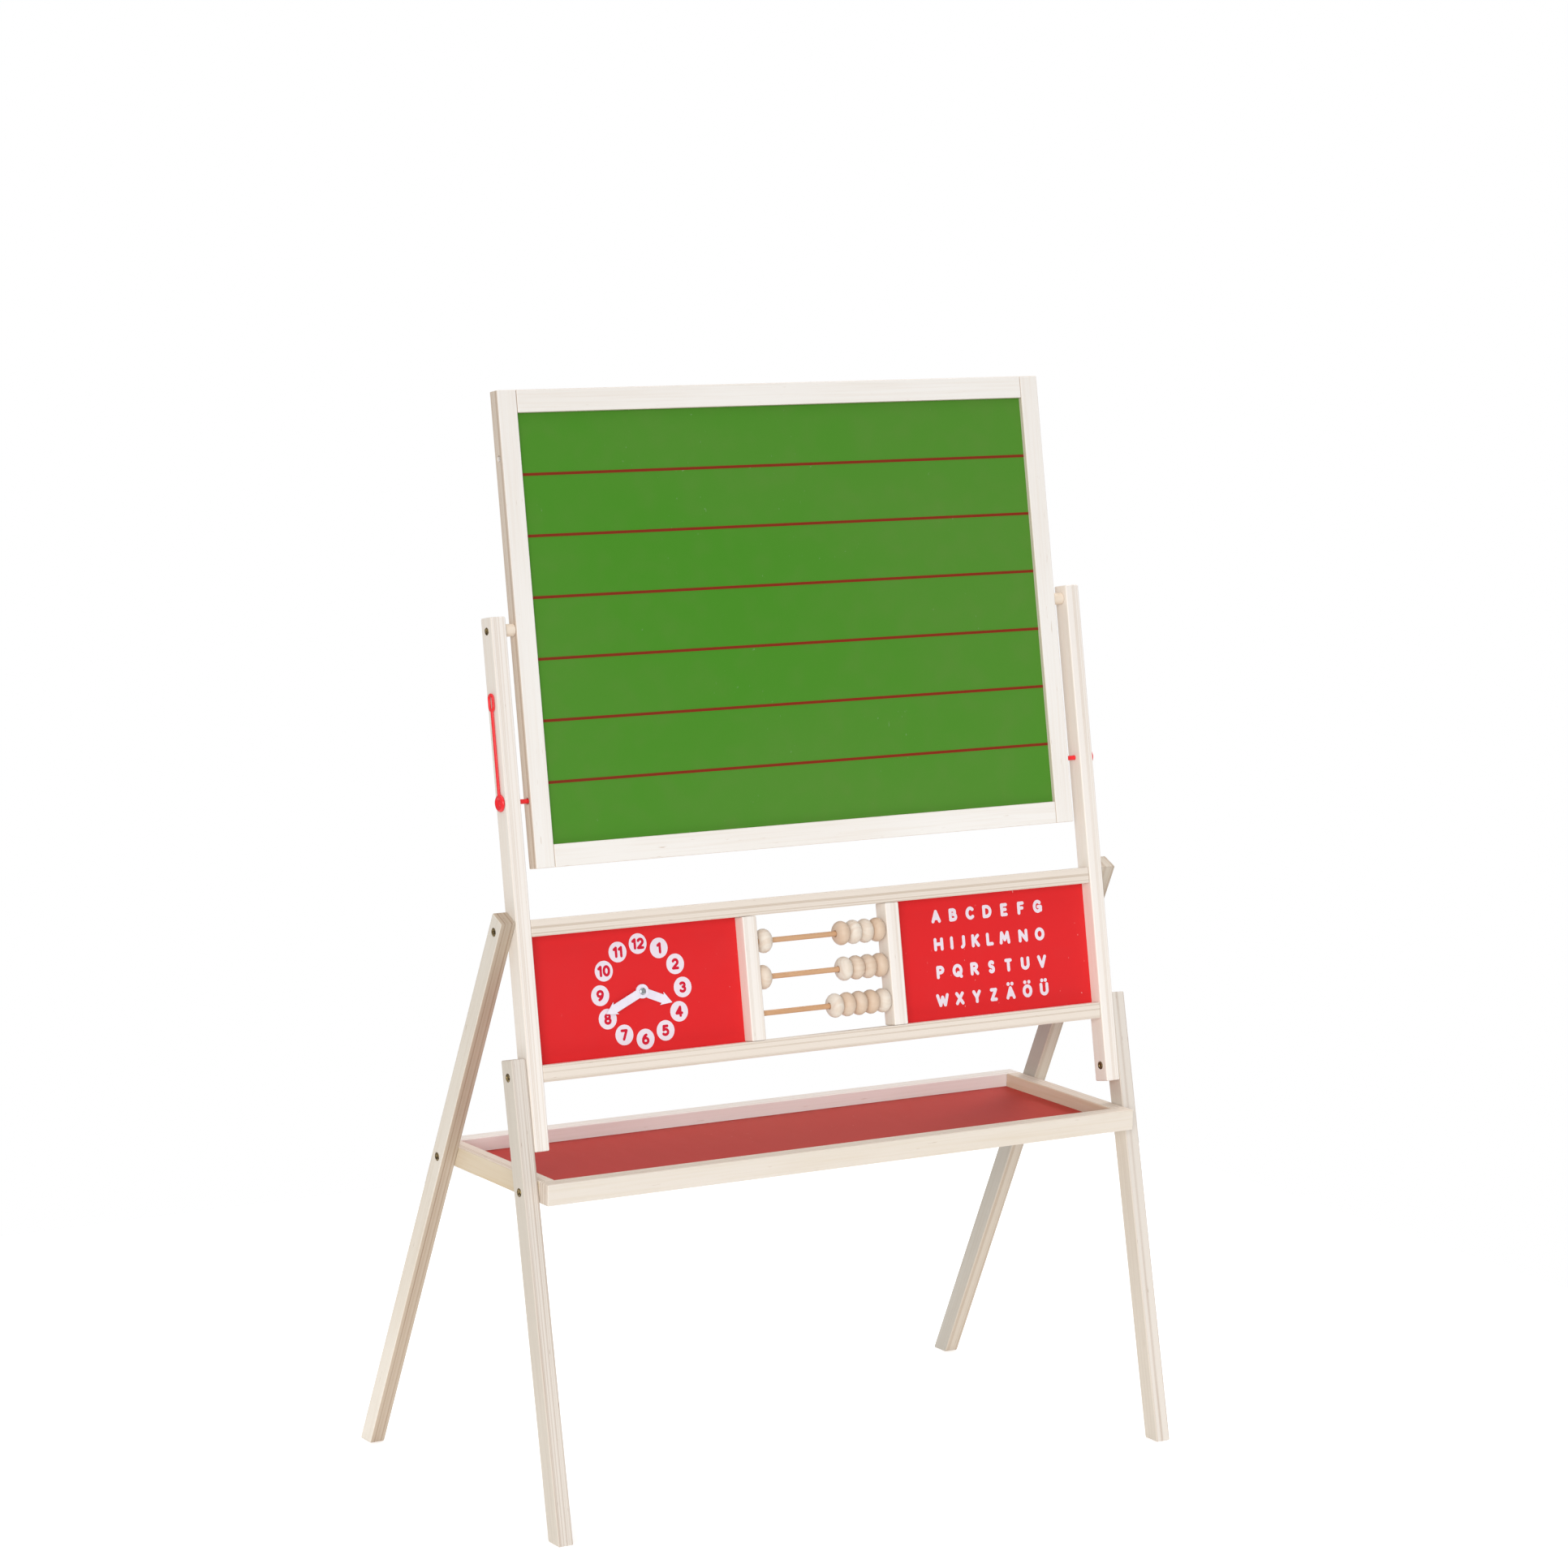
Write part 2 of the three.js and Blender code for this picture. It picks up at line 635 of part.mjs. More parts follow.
// ---------------------------------------------------------------- assembly
for (const [label, side] of SIDES) {
  place(frontLegFrame, `${label}_front_leg`, frontLeg(side), plywood);
  place(rearLegFrame, `${label}_rear_leg`, rearLeg(side), plywood);
  place(uprightFrame, `${label}_upright`, upright(side), plywood);
  place(uprightFrame, `board_${label}_stile`, boardStile(side), boardWood);
  place(uprightFrame, `${label}_pivot_spacer`, pivotSpacer(side), rodWood);
  place(uprightFrame, `${label}_pivot_screw`, pivotScrew(side), brass);
  place(uprightFrame, `${label}_lock_pin`, lockPin(side), pinRed);
  place(uprightFrame, `${label}_divider`, divider(side), plywood);
  place(easel, `tray_${label}_rail`, traySideRail(side), plywood);
  for (const spec of BOLTS) {
    const mesh = place(easel, `${label}_${spec.name}`, bolt(side, spec), brass);
    mesh.position.set(0, spec.axis.y, spec.axis.z);
  }
}

place(uprightFrame, 'board_bottom_rail', boardRail(-1), boardWood);
place(uprightFrame, 'board_top_rail', boardRail(1), boardWood);
place(uprightFrame, 'chalk_panel', boardSkin(-1), green);
place(uprightFrame, 'marker_panel', boardSkin(1), white);

place(uprightFrame, 'mid_bottom_rail', midRail(MID_BOTTOM), plywood);
place(uprightFrame, 'mid_top_rail', midRail(MID_TOP - MID_RAIL), plywood);
place(uprightFrame, 'clock_panel', clockPanel(), red);
place(uprightFrame, 'alphabet_panel', signPanel(1), red);
place(uprightFrame, 'hour_hand', clockHand(HOUR_HAND), handWhite);
place(uprightFrame, 'minute_hand', clockHand(MINUTE_HAND), handWhite);
place(uprightFrame, 'clock_rivet', clockRivet(), steel);

BEAD_ROWS.forEach(([row, lone], i) => {
  place(uprightFrame, `${row}_rod`, rod(rodHeights[i]), rodWood);
  beadPlaces(lone).forEach((x, n) => {
    const mesh = place(uprightFrame, `${row}_bead_${n + 1}`, bead(), beadWood);
    mesh.position.set(x, UPRIGHT_MID, rodHeights[i]);
  });
});

place(easel, 'tray_front_rail', trayCrossRail(TRAY_FRONT), plywood);
place(easel, 'tray_back_rail', trayCrossRail(TRAY_BACK - TRAY_RAIL), plywood);
place(easel, 'tray_floor', trayFloor(), trayRed);

export default easel;
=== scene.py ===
"""Looks for the kids easel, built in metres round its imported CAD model."""

from __future__ import annotations

import json
import logging
import math
import random
from collections.abc import Mapping, Sequence
from dataclasses import dataclass, field
from enum import Enum
from typing import Protocol

import bmesh
import bpy
from mathutils import Matrix, Vector


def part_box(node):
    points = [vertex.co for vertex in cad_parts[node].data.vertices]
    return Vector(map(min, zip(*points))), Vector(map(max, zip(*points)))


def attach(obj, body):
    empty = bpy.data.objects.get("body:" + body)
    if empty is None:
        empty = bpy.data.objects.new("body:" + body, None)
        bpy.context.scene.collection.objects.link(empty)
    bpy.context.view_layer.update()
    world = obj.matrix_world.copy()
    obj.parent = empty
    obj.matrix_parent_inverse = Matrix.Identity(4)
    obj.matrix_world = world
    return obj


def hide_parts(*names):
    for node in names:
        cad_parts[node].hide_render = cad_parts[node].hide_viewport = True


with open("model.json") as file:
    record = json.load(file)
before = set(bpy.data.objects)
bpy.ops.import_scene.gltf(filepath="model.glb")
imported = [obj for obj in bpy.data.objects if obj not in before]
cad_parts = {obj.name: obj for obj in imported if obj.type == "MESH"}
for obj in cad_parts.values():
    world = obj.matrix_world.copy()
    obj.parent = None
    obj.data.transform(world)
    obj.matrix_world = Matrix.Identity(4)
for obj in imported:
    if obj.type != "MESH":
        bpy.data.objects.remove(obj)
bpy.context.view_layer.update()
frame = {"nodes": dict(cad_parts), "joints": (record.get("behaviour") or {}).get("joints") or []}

LOG = logging.getLogger("easel")
SEED = 20
PLY = 0.00142  # thickness of one veneer of the plywood
PRINT = 0.00012  # thickness of printed paint
MERGED = 1e-6  # points nearer than this become one
DRAWN = 1000.0  # letters are drawn this many times their size, and then reduced
FILM = 2.0  # thickness of a letter as it is drawn
GRAIN = "grain_place"  # mesh attribute: where a point lies in its own piece of material
FACING = "grain_facing"  # mesh attribute: which way the surface faces along that piece's axes
STOCK = (500, 3.0, 6.0)  # the stock that pieces are cut from: its veneer pairs, width and length
SHARP = math.radians(20)  # an edge that bends more than this is rounded
CREASE = math.radians(38)  # an edge that bends more than this is shaded as a crease
CORNER = math.radians(35)  # a stroke that bends more than this is parted there
NOTHING = 1e-7  # a length or an angle below this counts as none
CLEAR = 0.001  # how far a cutting tool stands clear of what it cuts
ARC_STEP = 12  # degrees from one point of a letter's arc to the next
CAP = 10  # faces round the end of a letter's stroke
DOT = 1.1  # a dot's width as a share of a stroke's

Colour = tuple[float, float, float]


def colour(code: str) -> Colour:
    """The linear colour of a six-digit hex code.

    Args:
        code: Two digits for each of red, green and blue.

    Returns:
        Its red, green and blue.
    """
    parts = [int(code[i : i + 2], 16) / 255 for i in (0, 2, 4)]
    red, green, blue = (
        part / 12.92 if part <= 0.04045 else ((part + 0.055) / 1.055) ** 2.4 for part in parts
    )
    return red, green, blue


class Axis(Enum):
    """An axis of a frame of reference."""

    X = 0
    Y = 1
    Z = 2

    @property
    def unit(self) -> Vector:
        """A vector of length 1 along this axis."""
        return Vector(tuple(1.0 if i == self.value else 0.0 for i in range(3)))


class Side(Enum):
    """One side of the easel, as its user sees it."""

    LEFT = -1
    RIGHT = 1

    @property
    def label(self) -> str:
        """The word that the names of this side's nodes use."""
        return self.name.lower()


# ------------------------------------------------------------------ shader graphs
class Signal:
    """One output socket of a shader graph, which takes part in arithmetic."""

    def __init__(self, graph: Graph, socket: bpy.types.NodeSocket) -> None:
        """Wraps a socket.

        Args:
            graph: The graph that the socket belongs to.
            socket: The output socket.
        """
        self.graph = graph
        self.socket = socket

    def _combine(self, operation: str, first: Term, second: Term = 0.0) -> Signal:
        """Adds a Math node, or a Vector Math node where a term isn't a plain value.

        Args:
            operation: The node's operation.
            first: Its first term.
            second: Its second term.

        Returns:
            The node's result.
        """
        plain = is_value(first) and is_value(second)
        kind = "ShaderNodeMath" if plain else "ShaderNodeVectorMath"
        return self.graph.node(kind, {"operation": operation}, {0: first, 1: second})[0]

    def __add__(self, other: Term) -> Signal:
        """This plus other."""
        return self._combine("ADD", self, other)

    def __radd__(self, other: Term) -> Signal:
        """Other plus this."""
        return self._combine("ADD", other, self)

    def __sub__(self, other: Term) -> Signal:
        """This minus other."""
        return self._combine("SUBTRACT", self, other)

    def __rsub__(self, other: Term) -> Signal:
        """Other minus this."""
        return self._combine("SUBTRACT", other, self)

    def __mul__(self, other: Term) -> Signal:
        """This times other."""
        return self._combine("MULTIPLY", self, other)

    def __rmul__(self, other: Term) -> Signal:
        """Other times this."""
        return self._combine("MULTIPLY", other, self)

    def __truediv__(self, other: Term) -> Signal:
        """This divided by other."""
        return self._combine("DIVIDE", self, other)

    def __rtruediv__(self, other: Term) -> Signal:
        """Other divided by this."""
        return self._combine("DIVIDE", other, self)

    def __abs__(self) -> Signal:
        """This without its sign."""
        return self._combine("ABSOLUTE", self)

    def __floor__(self) -> Signal:
        """The whole number at or below this."""
        return self._combine("FLOOR", self)

    def least(self, other: Term) -> Signal:
        """The smaller of this and other."""
        return self._combine("MINIMUM", self, other)

    def step(self, low: float, high: float) -> Signal:
        """Rises smoothly from 0 at low to 1 at high.

        Args:
            low: Where it starts to rise.
            high: Where it has risen.

        Returns:
            The rise.
        """
        smooth = {"interpolation_type": "SMOOTHSTEP"}
        limits = {"Value": self, "From Min": low, "From Max": high}
        return self.graph.node("ShaderNodeMapRange", smooth, limits)[0]


Term = "float | Sequence[float] | Signal"


def is_value(term: Term) -> bool:
    """Whether a term is one number, or a socket that carries one.

    Args:
        term: The term.

    Returns:
        Whether it is one.
    """
    return isinstance(term, (int, float)) or (
        isinstance(term, Signal) and term.socket.type == "VALUE"
    )


class Made:
    """A node that has been added to a graph."""

    def __init__(self, graph: Graph, node: bpy.types.Node) -> None:
        """Wraps a node.

        Args:
            graph: The graph that it is in.
            node: The node.
        """
        self.graph = graph
        self.made = node

    def __getitem__(self, key: int | str) -> Signal:
        """The output with that name or place."""
        return Signal(self.graph, self.made.outputs[key])


class Graph:
    """The node tree of one material or world."""

    def __init__(self, owner: bpy.types.Material | bpy.types.World) -> None:
        """Starts an empty tree.

        Args:
            owner: What the tree belongs to.
        """
        owner.use_nodes = True
        self.owner = owner
        self.tree = owner.node_tree
        self.tree.nodes.clear()

    @classmethod
    def of(cls, name: str) -> Graph:
        """The empty tree of a new material with that name."""
        return cls(bpy.data.materials.new(name))

    def node(
        self,
        kind: str,
        settings: Mapping[str, object] | None = None,
        inputs: Mapping[int | str, Term] | None = None,
    ) -> Made:
        """Adds one node.

        Args:
            kind: Its type.
            settings: Its own settings, which are set first.
            inputs: The value or the link of each socket, by name or place.

        Returns:
            The node.
        """
        made = self.tree.nodes.new(kind)
        for key, value in (settings or {}).items():
            setattr(made, key, value)
        for key, value in (inputs or {}).items():
            self._feed(made.inputs[key], value)
        return Made(self, made)

    def _feed(self, socket: bpy.types.NodeSocket, value: Term) -> None:
        """Links a signal to an input socket, or sets the socket's own value.

        Args:
            socket: The input socket.
            value: A signal, a number, or several numbers.
        """
        if isinstance(value, Signal):
            self.tree.links.new(value.socket, socket)
        elif socket.type == "RGBA":
            socket.default_value = (*value, 1.0)
        elif socket.type == "VECTOR" and isinstance(value, (int, float)):
            socket.default_value = (value, value, value)
        else:
            socket.default_value = value

    def place(self) -> Signal:
        """Where a point lies in its piece: across the plies, across the face, along the grain."""
        return self.node("ShaderNodeAttribute", {"attribute_name": GRAIN})["Vector"]

    def split(self, vector: Signal) -> list[Signal]:
        """A vector's three parts."""
        parts = self.node("ShaderNodeSeparateXYZ", {}, {0: vector})
        return [parts[i] for i in range(3)]

    def facing(self) -> list[Signal]:
        """How squarely the surface faces each of its piece's own axes, from 0 to 1."""
        normal = self.node("ShaderNodeAttribute", {"attribute_name": FACING})["Vector"]
        return [abs(part) for part in self.split(normal)]

    def noise(self, place: Signal, detail: float = 2.0, rough: float = 0.5) -> Signal:
        """Smooth noise from 0 to 1, one wave to each unit of place.

        Args:
            place: Where it is read.
            detail: How many finer layers it has.
            rough: How strong they are.

        Returns:
            The noise.
        """
        inputs = {"Vector": place, "Scale": 1.0, "Detail": detail, "Roughness": rough}
        return self.node("ShaderNodeTexNoise", {}, inputs)[0]

    def chance(self, number: Signal) -> Signal:
        """A random value from 0 to 1 for each whole number."""
        return self.node("ShaderNodeTexWhiteNoise", {"noise_dimensions": "1D"}, {"W": number})[0]

    def mix(self, share: Term, first: Colour | Signal, second: Colour | Signal) -> Signal:
        """Mixes two colours.

        Args:
            share: How much of the second shows, from 0 to 1.
            first: The colour where share is 0.
            second: The colour where share is 1.

        Returns:
            The mixed colour.
        """
        inputs = {0: share, 6: first, 7: second}
        return self.node("ShaderNodeMix", {"data_type": "RGBA"}, inputs)[2]

    def coat(
        self,
        base: Colour | Signal,
        rough: Term,
        height: Signal | None = None,
        relief: float = 0.0001,
        **fixed: float | Colour,
    ) -> bpy.types.Material:
        """Ends the graph in one shader.

        Args:
            base: The colour.
            rough: The roughness.
            height: The relief, from 0 to 1, or None for a smooth surface.
            relief: How deep the relief is, in metres.
            **fixed: Other sockets that are the same all over, with _ for a space.

        Returns:
            The finished material.
        """
        inputs: dict[int | str, Term] = {"Base Color": base, "Roughness": rough}
        if height is not None:
            bump = {"Strength": 1.0, "Distance": relief, "Height": height}
            inputs["Normal"] = self.node("ShaderNodeBump", {}, bump)["Normal"]
        inputs |= {key.replace("_", " "): value for key, value in fixed.items()}
        shader = self.node("ShaderNodeBsdfPrincipled", {}, inputs)
        self.node("ShaderNodeOutputMaterial", {}, {"Surface": shader["BSDF"]})
        return self.owner


# ------------------------------------------------------------------ finishes
# how fine each pattern is: its waves in a metre across the plies, across the face and along the
# grain
STREAKS = (330, 330, 7)
CLOUDS = (14, 14, 3)
FLECKS = (380, 380, 40)
WANDER = (9, 9, 2.5)
PATCHES = (60, 40, 3.5)
FIBRES = (1200, 500, 11)
VOIDS = (700, 400, 60)
GROWTH = (30, 260, 60)
PORES = (160, 1800, 1800)
TONES = (9, 9, 9)
SPRAY = (2.4, 2.4, 2.8)
WIPES = (30, 9, 30)
PEEL = (650, 650, 650)
SPECKS = (260, 90, 160)
GATHERED = (11, 11, 11)
FLOW = (60, 60, 25)
MOULD = (1400, 1400, 1400)
TARNISH = (420, 420, 420)
SCRATCHES = (3000, 600, 3000)
MOTTLE = (0.7, 0.7, 0.7)


class Finish(Protocol):
    """What a surface looks like."""

    name: str

    def material(self) -> bpy.types.Material:
        """Makes its material."""


@dataclass(frozen=True)
class WashedPlywood:
    """Birch plywood under a thin white wash, with its plies showing on the cut edges.

    Attributes:
        name: The material's name.
        wash: Where the wash covers.
        thin: Where it has soaked in.
        cut: The wash on the cut edges.
        veneer: The darker plies there.
        glue: The glue lines and small voids between the plies.
        show: How much the plies show, from 0 to 1.
    """

    name: str
    wash: Colour
    thin: Colour
    cut: Colour
    veneer: Colour
    glue: Colour
    show: float

    def material(self) -> bpy.types.Material:
        """Makes its material.

        Returns:
            The material.
        """
        graph = Graph.of(self.name)
        place = graph.place()
        across, _, along = graph.facing()
        edge = 1 - across.step(0.5, 0.85)
        end = along.step(0.6, 0.9)

        streak = graph.noise(place * STREAKS, 4, 0.6)
        cloud = graph.noise(place * CLOUDS, 2)
        pale = streak.step(0.42, 0.72) * 0.5 + cloud.step(0.4, 0.7) * 0.4
        fleck = graph.noise(place * FLECKS, 2).step(0.7, 0.78)
        face = graph.mix(fleck * 0.5, graph.mix(pale, self.wash, self.thin), self.veneer)

        wander = graph.noise(place * WANDER, 1) - 0.5
        stack = graph.split(place)[0] / PLY + 0.5 + wander * 0.4
        index = math.floor(stack)
        part = stack - index
        chance = graph.chance(index)
        patch = graph.noise(place * PATCHES, 2).step(0.35, 0.65)
        fibre = graph.noise(place * FIBRES, 3, 0.6).step(0.35, 0.75)
        shown = (patch * 0.5 + 0.5 + end * 0.3) * self.show
        ply = graph.mix(chance.step(0.5, 0.75) * (fibre * 0.4 + 0.6) * shown, self.cut, self.veneer)
        line = 1 - part.least(1 - part).step(0.03, 0.22)
        void = graph.noise(place * VOIDS, 1).step(0.74, 0.8) * chance.step(0.4, 0.6)
        glued = line * shown * chance.step(0.55, 0.75) * 0.75
        plies = graph.mix(void * self.show, graph.mix(glued, ply, self.glue), self.glue)

        height = streak * 0.5 + (1 - line * edge) * 0.3 - void * edge * 0.5
        base = graph.mix(edge, face, plies)
        rough = 0.5 + streak * 0.18
        return graph.coat(base, rough, height, relief=0.00012, Specular_IOR_Level=0.35)


@dataclass(frozen=True)
class Turned:
    """Turned solid wood with fine growth lines and end grain.

    Attributes:
        name: The material's name.
        pale: The early wood.
        dark: The late wood.
        shift: A colour that whole pieces lean towards.
        rough: The roughness of its wax or lack of it.
    """

    name: str
    pale: Colour
    dark: Colour
    shift: Colour
    rough: float

    def material(self) -> bpy.types.Material:
        """Makes its material.

        Returns:
            The material.
        """
        graph = Graph.of(self.name)
        place = graph.place()
        ring = graph.noise(place * GROWTH, 2, 0.4)
        pore = graph.noise(place * PORES, 2)
        tone = graph.noise(place * TONES, 0)
        grain = ring.step(0.3, 0.75) * 0.5 + pore.step(0.55, 0.8) * 0.3
        wood = graph.mix(grain, self.pale, self.dark)
        base = graph.mix(tone.step(0.4, 0.65) * 0.75, wood, self.shift)
        rough = self.rough + pore * 0.12
        return graph.coat(base, rough, ring + pore * 0.6, relief=0.00005)


@dataclass(frozen=True)
class Painted:
    """Thin board under a sprayed colour, with rubbed places and small scuffs.

    Attributes:
        name: The material's name.
        paint: The colour.
        worn: The colour where it is rubbed or dusty.
        scuff: The colour of small scuffs.
        rub: How much of the rubbed colour shows, from 0 to 1.
        rough: The roughness where it isn't rubbed.
        scuffs: How many scuffs show, from 0 to 1.
    """

    name: str
    paint: Colour
    worn: Colour
    scuff: Colour
    rub: float
    rough: float
    scuffs: float = 0.0

    def material(self) -> bpy.types.Material:
        """Makes its material.

        Returns:
            The material.
        """
        graph = Graph.of(self.name)
        place = graph.place()
        cloud = graph.noise(place * SPRAY, 3, 0.5).step(0.3, 0.7)
        wipe = graph.noise(place * WIPES, 3).step(0.4, 0.75)
        peel = graph.noise(place * PEEL, 1)
        rubbed = (cloud * 0.7 + wipe * 0.3) * self.rub
        base = graph.mix(rubbed, self.paint, self.worn)
        if self.scuffs:
            speck = graph.noise(place * SPECKS, 2).step(0.735, 0.76)
            sparse = graph.noise(place * GATHERED, 1).step(0.5, 0.62)
            base = graph.mix(speck * sparse * self.scuffs, base, self.scuff)
        rough = self.rough + rubbed * 0.15
        return graph.coat(base, rough, peel, relief=0.00003, Specular_IOR_Level=0.2)


@dataclass(frozen=True)
class Moulded:
    """Moulded plastic, glossy or matt, with a faint moulding grain.

    Attributes:
        name: The material's name.
        plastic: The colour.
        deep: The colour where the plastic is thick.
        rough: The roughness.
    """

    name: str
    plastic: Colour
    deep: Colour
    rough: float

    def material(self) -> bpy.types.Material:
        """Makes its material.

        Returns:
            The material.
        """
        graph = Graph.of(self.name)
        place = graph.place()
        flow = graph.noise(place * FLOW, 2)
        grain = graph.noise(place * MOULD, 1)
        base = graph.mix(flow.step(0.35, 0.7), self.plastic, self.deep)
        return graph.coat(base, self.rough + grain * 0.1, grain, relief=0.00002)


@dataclass(frozen=True)
class Metal:
    """Plain metal, dull in its hollows and brighter where it is rubbed.

    Attributes:
        name: The material's name.
        bright: The rubbed colour.
        dull: The colour of the tarnish.
        rough: The least roughness.
    """

    name: str
    bright: Colour
    dull: Colour
    rough: float

    def material(self) -> bpy.types.Material:
        """Makes its material.

        Returns:
            The material.
        """
        graph = Graph.of(self.name)
        place = graph.place()
        tarnish = graph.noise(place * TARNISH, 3).step(0.35, 0.65)
        scratch = graph.noise(place * SCRATCHES, 2)
        base = graph.mix(tarnish, self.bright, self.dull)
        rough = self.rough + tarnish * 0.2
        return graph.coat(base, rough, scratch, relief=0.00002, Metallic=1.0)


FRAME_PLY = WashedPlywood(
    "washed_plywood",
    wash=colour("ebe2d7"),
    thin=colour("e0d4c6"),
    cut=colour("e0d5c9"),
    veneer=colour("c4b3a0"),
    glue=colour("9f866f"),
    show=0.75,
)
UPRIGHT_PLY = WashedPlywood(
    "upright_plywood",
    wash=colour("ebe3d9"),
    thin=colour("e6dacc"),
    cut=colour("ebe4dd"),
    veneer=colour("d9cbbc"),
    glue=colour("b39c87"),
    show=0.6,
)
LEG_PLY = WashedPlywood(
    "front_leg_plywood",
    wash=colour("d0c7ba"),
    thin=colour("c5baac"),
    cut=colour("d6cec5"),
    veneer=colour("bbab9c"),
    glue=colour("957a65"),
    show=0.9,
)
TRAY_PLY = WashedPlywood(
    "tray_plywood",
    wash=colour("dcd3c8"),
    thin=colour("d5c9b8"),
    cut=colour("d9ccbe"),
    veneer=colour("bfab97"),
    glue=colour("967b62"),
    show=0.8,
)
# A paler copy of the tray's plywood for the back rail: painted light on its inner face, which the
# parts in front of it keep in shade.
LIT_TRAY_BACK_PLY = WashedPlywood(
    "tray_back_plywood",
    wash=colour("f2f3f0"),
    thin=colour("ebebe6"),
    cut=colour("e6e0d9"),
    veneer=colour("cfc3b6"),
    glue=colour("a8917c"),
    show=0.6,
)
TRAY_SIDE_PLY = WashedPlywood(
    "tray_side_plywood",
    wash=colour("d9cab3"),
    thin=colour("ceb998"),
    cut=colour("dacdbf"),
    veneer=colour("bfab97"),
    glue=colour("967b62"),
    show=0.8,
)
# The left rear leg's plywood. Its cut edges are darker, partly for barer plies and partly as
# painted shade on the leg's front face, which faces down and forward.
REAR_PLY = WashedPlywood(
    "rear_leg_plywood",
    wash=colour("ded6ca"),
    thin=colour("d3c7b6"),
    cut=colour("b5a491"),
    veneer=colour("94765e"),
    glue=colour("6f523e"),
    show=0.9,
)
# A darker copy of the rear legs' plywood for the right rear leg: painted shade, for the shadow that
# the parts in front of it cast on it.
SHADED_REAR_PLY = WashedPlywood(
    "dull_rear_leg_plywood",
    wash=colour("b7b1a7"),
    thin=colour("ada497"),
    cut=colour("c0b4a5"),
    veneer=colour("af9b86"),
    glue=colour("8d7661"),
    show=0.85,
)
BOARD_PLY = WashedPlywood(
    "board_frame_plywood",
    wash=colour("ece8e3"),
    thin=colour("e4dcd3"),
    cut=colour("dccfc0"),
    veneer=colour("b99d84"),
    glue=colour("866850"),
    show=0.72,
)
CHALK_GREEN = Painted(
    "chalk_green_paint",
    paint=colour("44861e"),
    worn=colour("54832f"),
    scuff=colour("d8e2d0"),
    rub=0.9,
    rough=0.5,
    scuffs=0.12,
)
RULED_RED = Painted(
    "ruled_line_paint",
    paint=colour("80240a"),
    worn=colour("752a10"),
    scuff=colour("752a10"),
    rub=0.8,
    rough=0.55,
)
MARKER_WHITE = Painted(
    "marker_white_lacquer",
    paint=colour("f6f7f7"),
    worn=colour("e9ecee"),
    scuff=colour("9aa4b4"),
    rub=0.7,
    rough=0.12,
    scuffs=0.4,
)
SIGN_RED = Painted(
    "sign_red_lacquer",
    paint=colour("d72427"),
    worn=colour("d02d30"),
    scuff=colour("f3c9c4"),
    rub=0.6,
    rough=0.32,
    scuffs=0.45,
)
TRAY_RED = Painted(
    "tray_red_lacquer",
    paint=colour("ad261c"),
    worn=colour("a9392d"),
    scuff=colour("d9928a"),
    rub=0.9,
    rough=0.45,
    scuffs=0.5,
)
SIGN_WHITE = Painted(
    "printed_white",
    paint=colour("e6dae2"),
    worn=colour("ded3de"),
    scuff=colour("eadfea"),
    rub=0.7,
    rough=0.45,
)
NUMBER_RED = Painted(
    "printed_red",
    paint=colour("cc1230"),
    worn=colour("c41c34"),
    scuff=colour("c41c34"),
    rub=0.7,
    rough=0.45,
)
RAW_BOARD = Painted(
    "raw_hardboard",
    paint=colour("b08d68"),
    worn=colour("9c7a57"),
    scuff=colour("8a6a4a"),
    rub=0.9,
    rough=0.7,
    scuffs=0.5,
)
ROD_WOOD = Turned("rod_wood", colour("cda17a"), colour("b68459"), colour("c79e78"), 0.5)
BEAD_WOOD = Turned("bead_wood", colour("e0d6c9"), colour("cbb39c"), colour("ccae92"), 0.42)
SPACER_WOOD = Turned("spacer_wood", colour("eadccb"), colour("d6c1a8"), colour("e4d3bf"), 0.5)
PIN_PLASTIC = Moulded("pin_red_plastic", colour("ef262c"), colour("e21c24"), 0.28)
HAND_PLASTIC = Moulded("hand_white_plastic", colour("e8e2ec"), colour("e0d8e6"), 0.42)
BOLT_METAL = Metal("bolt_bronze", colour("a08a5e"), colour("4c3f2c"), 0.3)
RIVET_METAL = Metal("rivet_steel", colour("d5d8dc"), colour("9ea3a8"), 0.18)


# ------------------------------------------------------------------ frames of reference
@dataclass(frozen=True)
class Box:
    """A box along a frame's axes.

    Attributes:
        low: Its lowest corner.
        high: Its highest corner.
    """

    low: Vector
    high: Vector

    @property
    def middle(self) -> Vector:
        """Its middle."""
        return (self.low + self.high) / 2

    @property
    def size(self) -> Vector:
        """Its size along each axis."""
        return self.high - self.low

    @classmethod
    def of(cls, node: str) -> Box:
        """The box of a CAD node, along the easel's own axes."""
        return cls(*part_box(node))


def lean_of(node: str) -> float:
    """How far a straight member leans back.

    Args:
        node: Its CAD node.

    Returns:
        The angle of its front face from the vertical, in radians.
    """
    areas: dict[float, float] = {}
    for face in frame["nodes"][node].data.polygons:
        if abs(face.normal.x) < 0.01 and face.normal.y < 0:
            tilt = round(math.atan2(face.normal.z, -face.normal.y), 5)
            areas[tilt] = areas.get(tilt, 0.0) + face.area
    return max(areas, key=lambda tilt: areas[tilt])


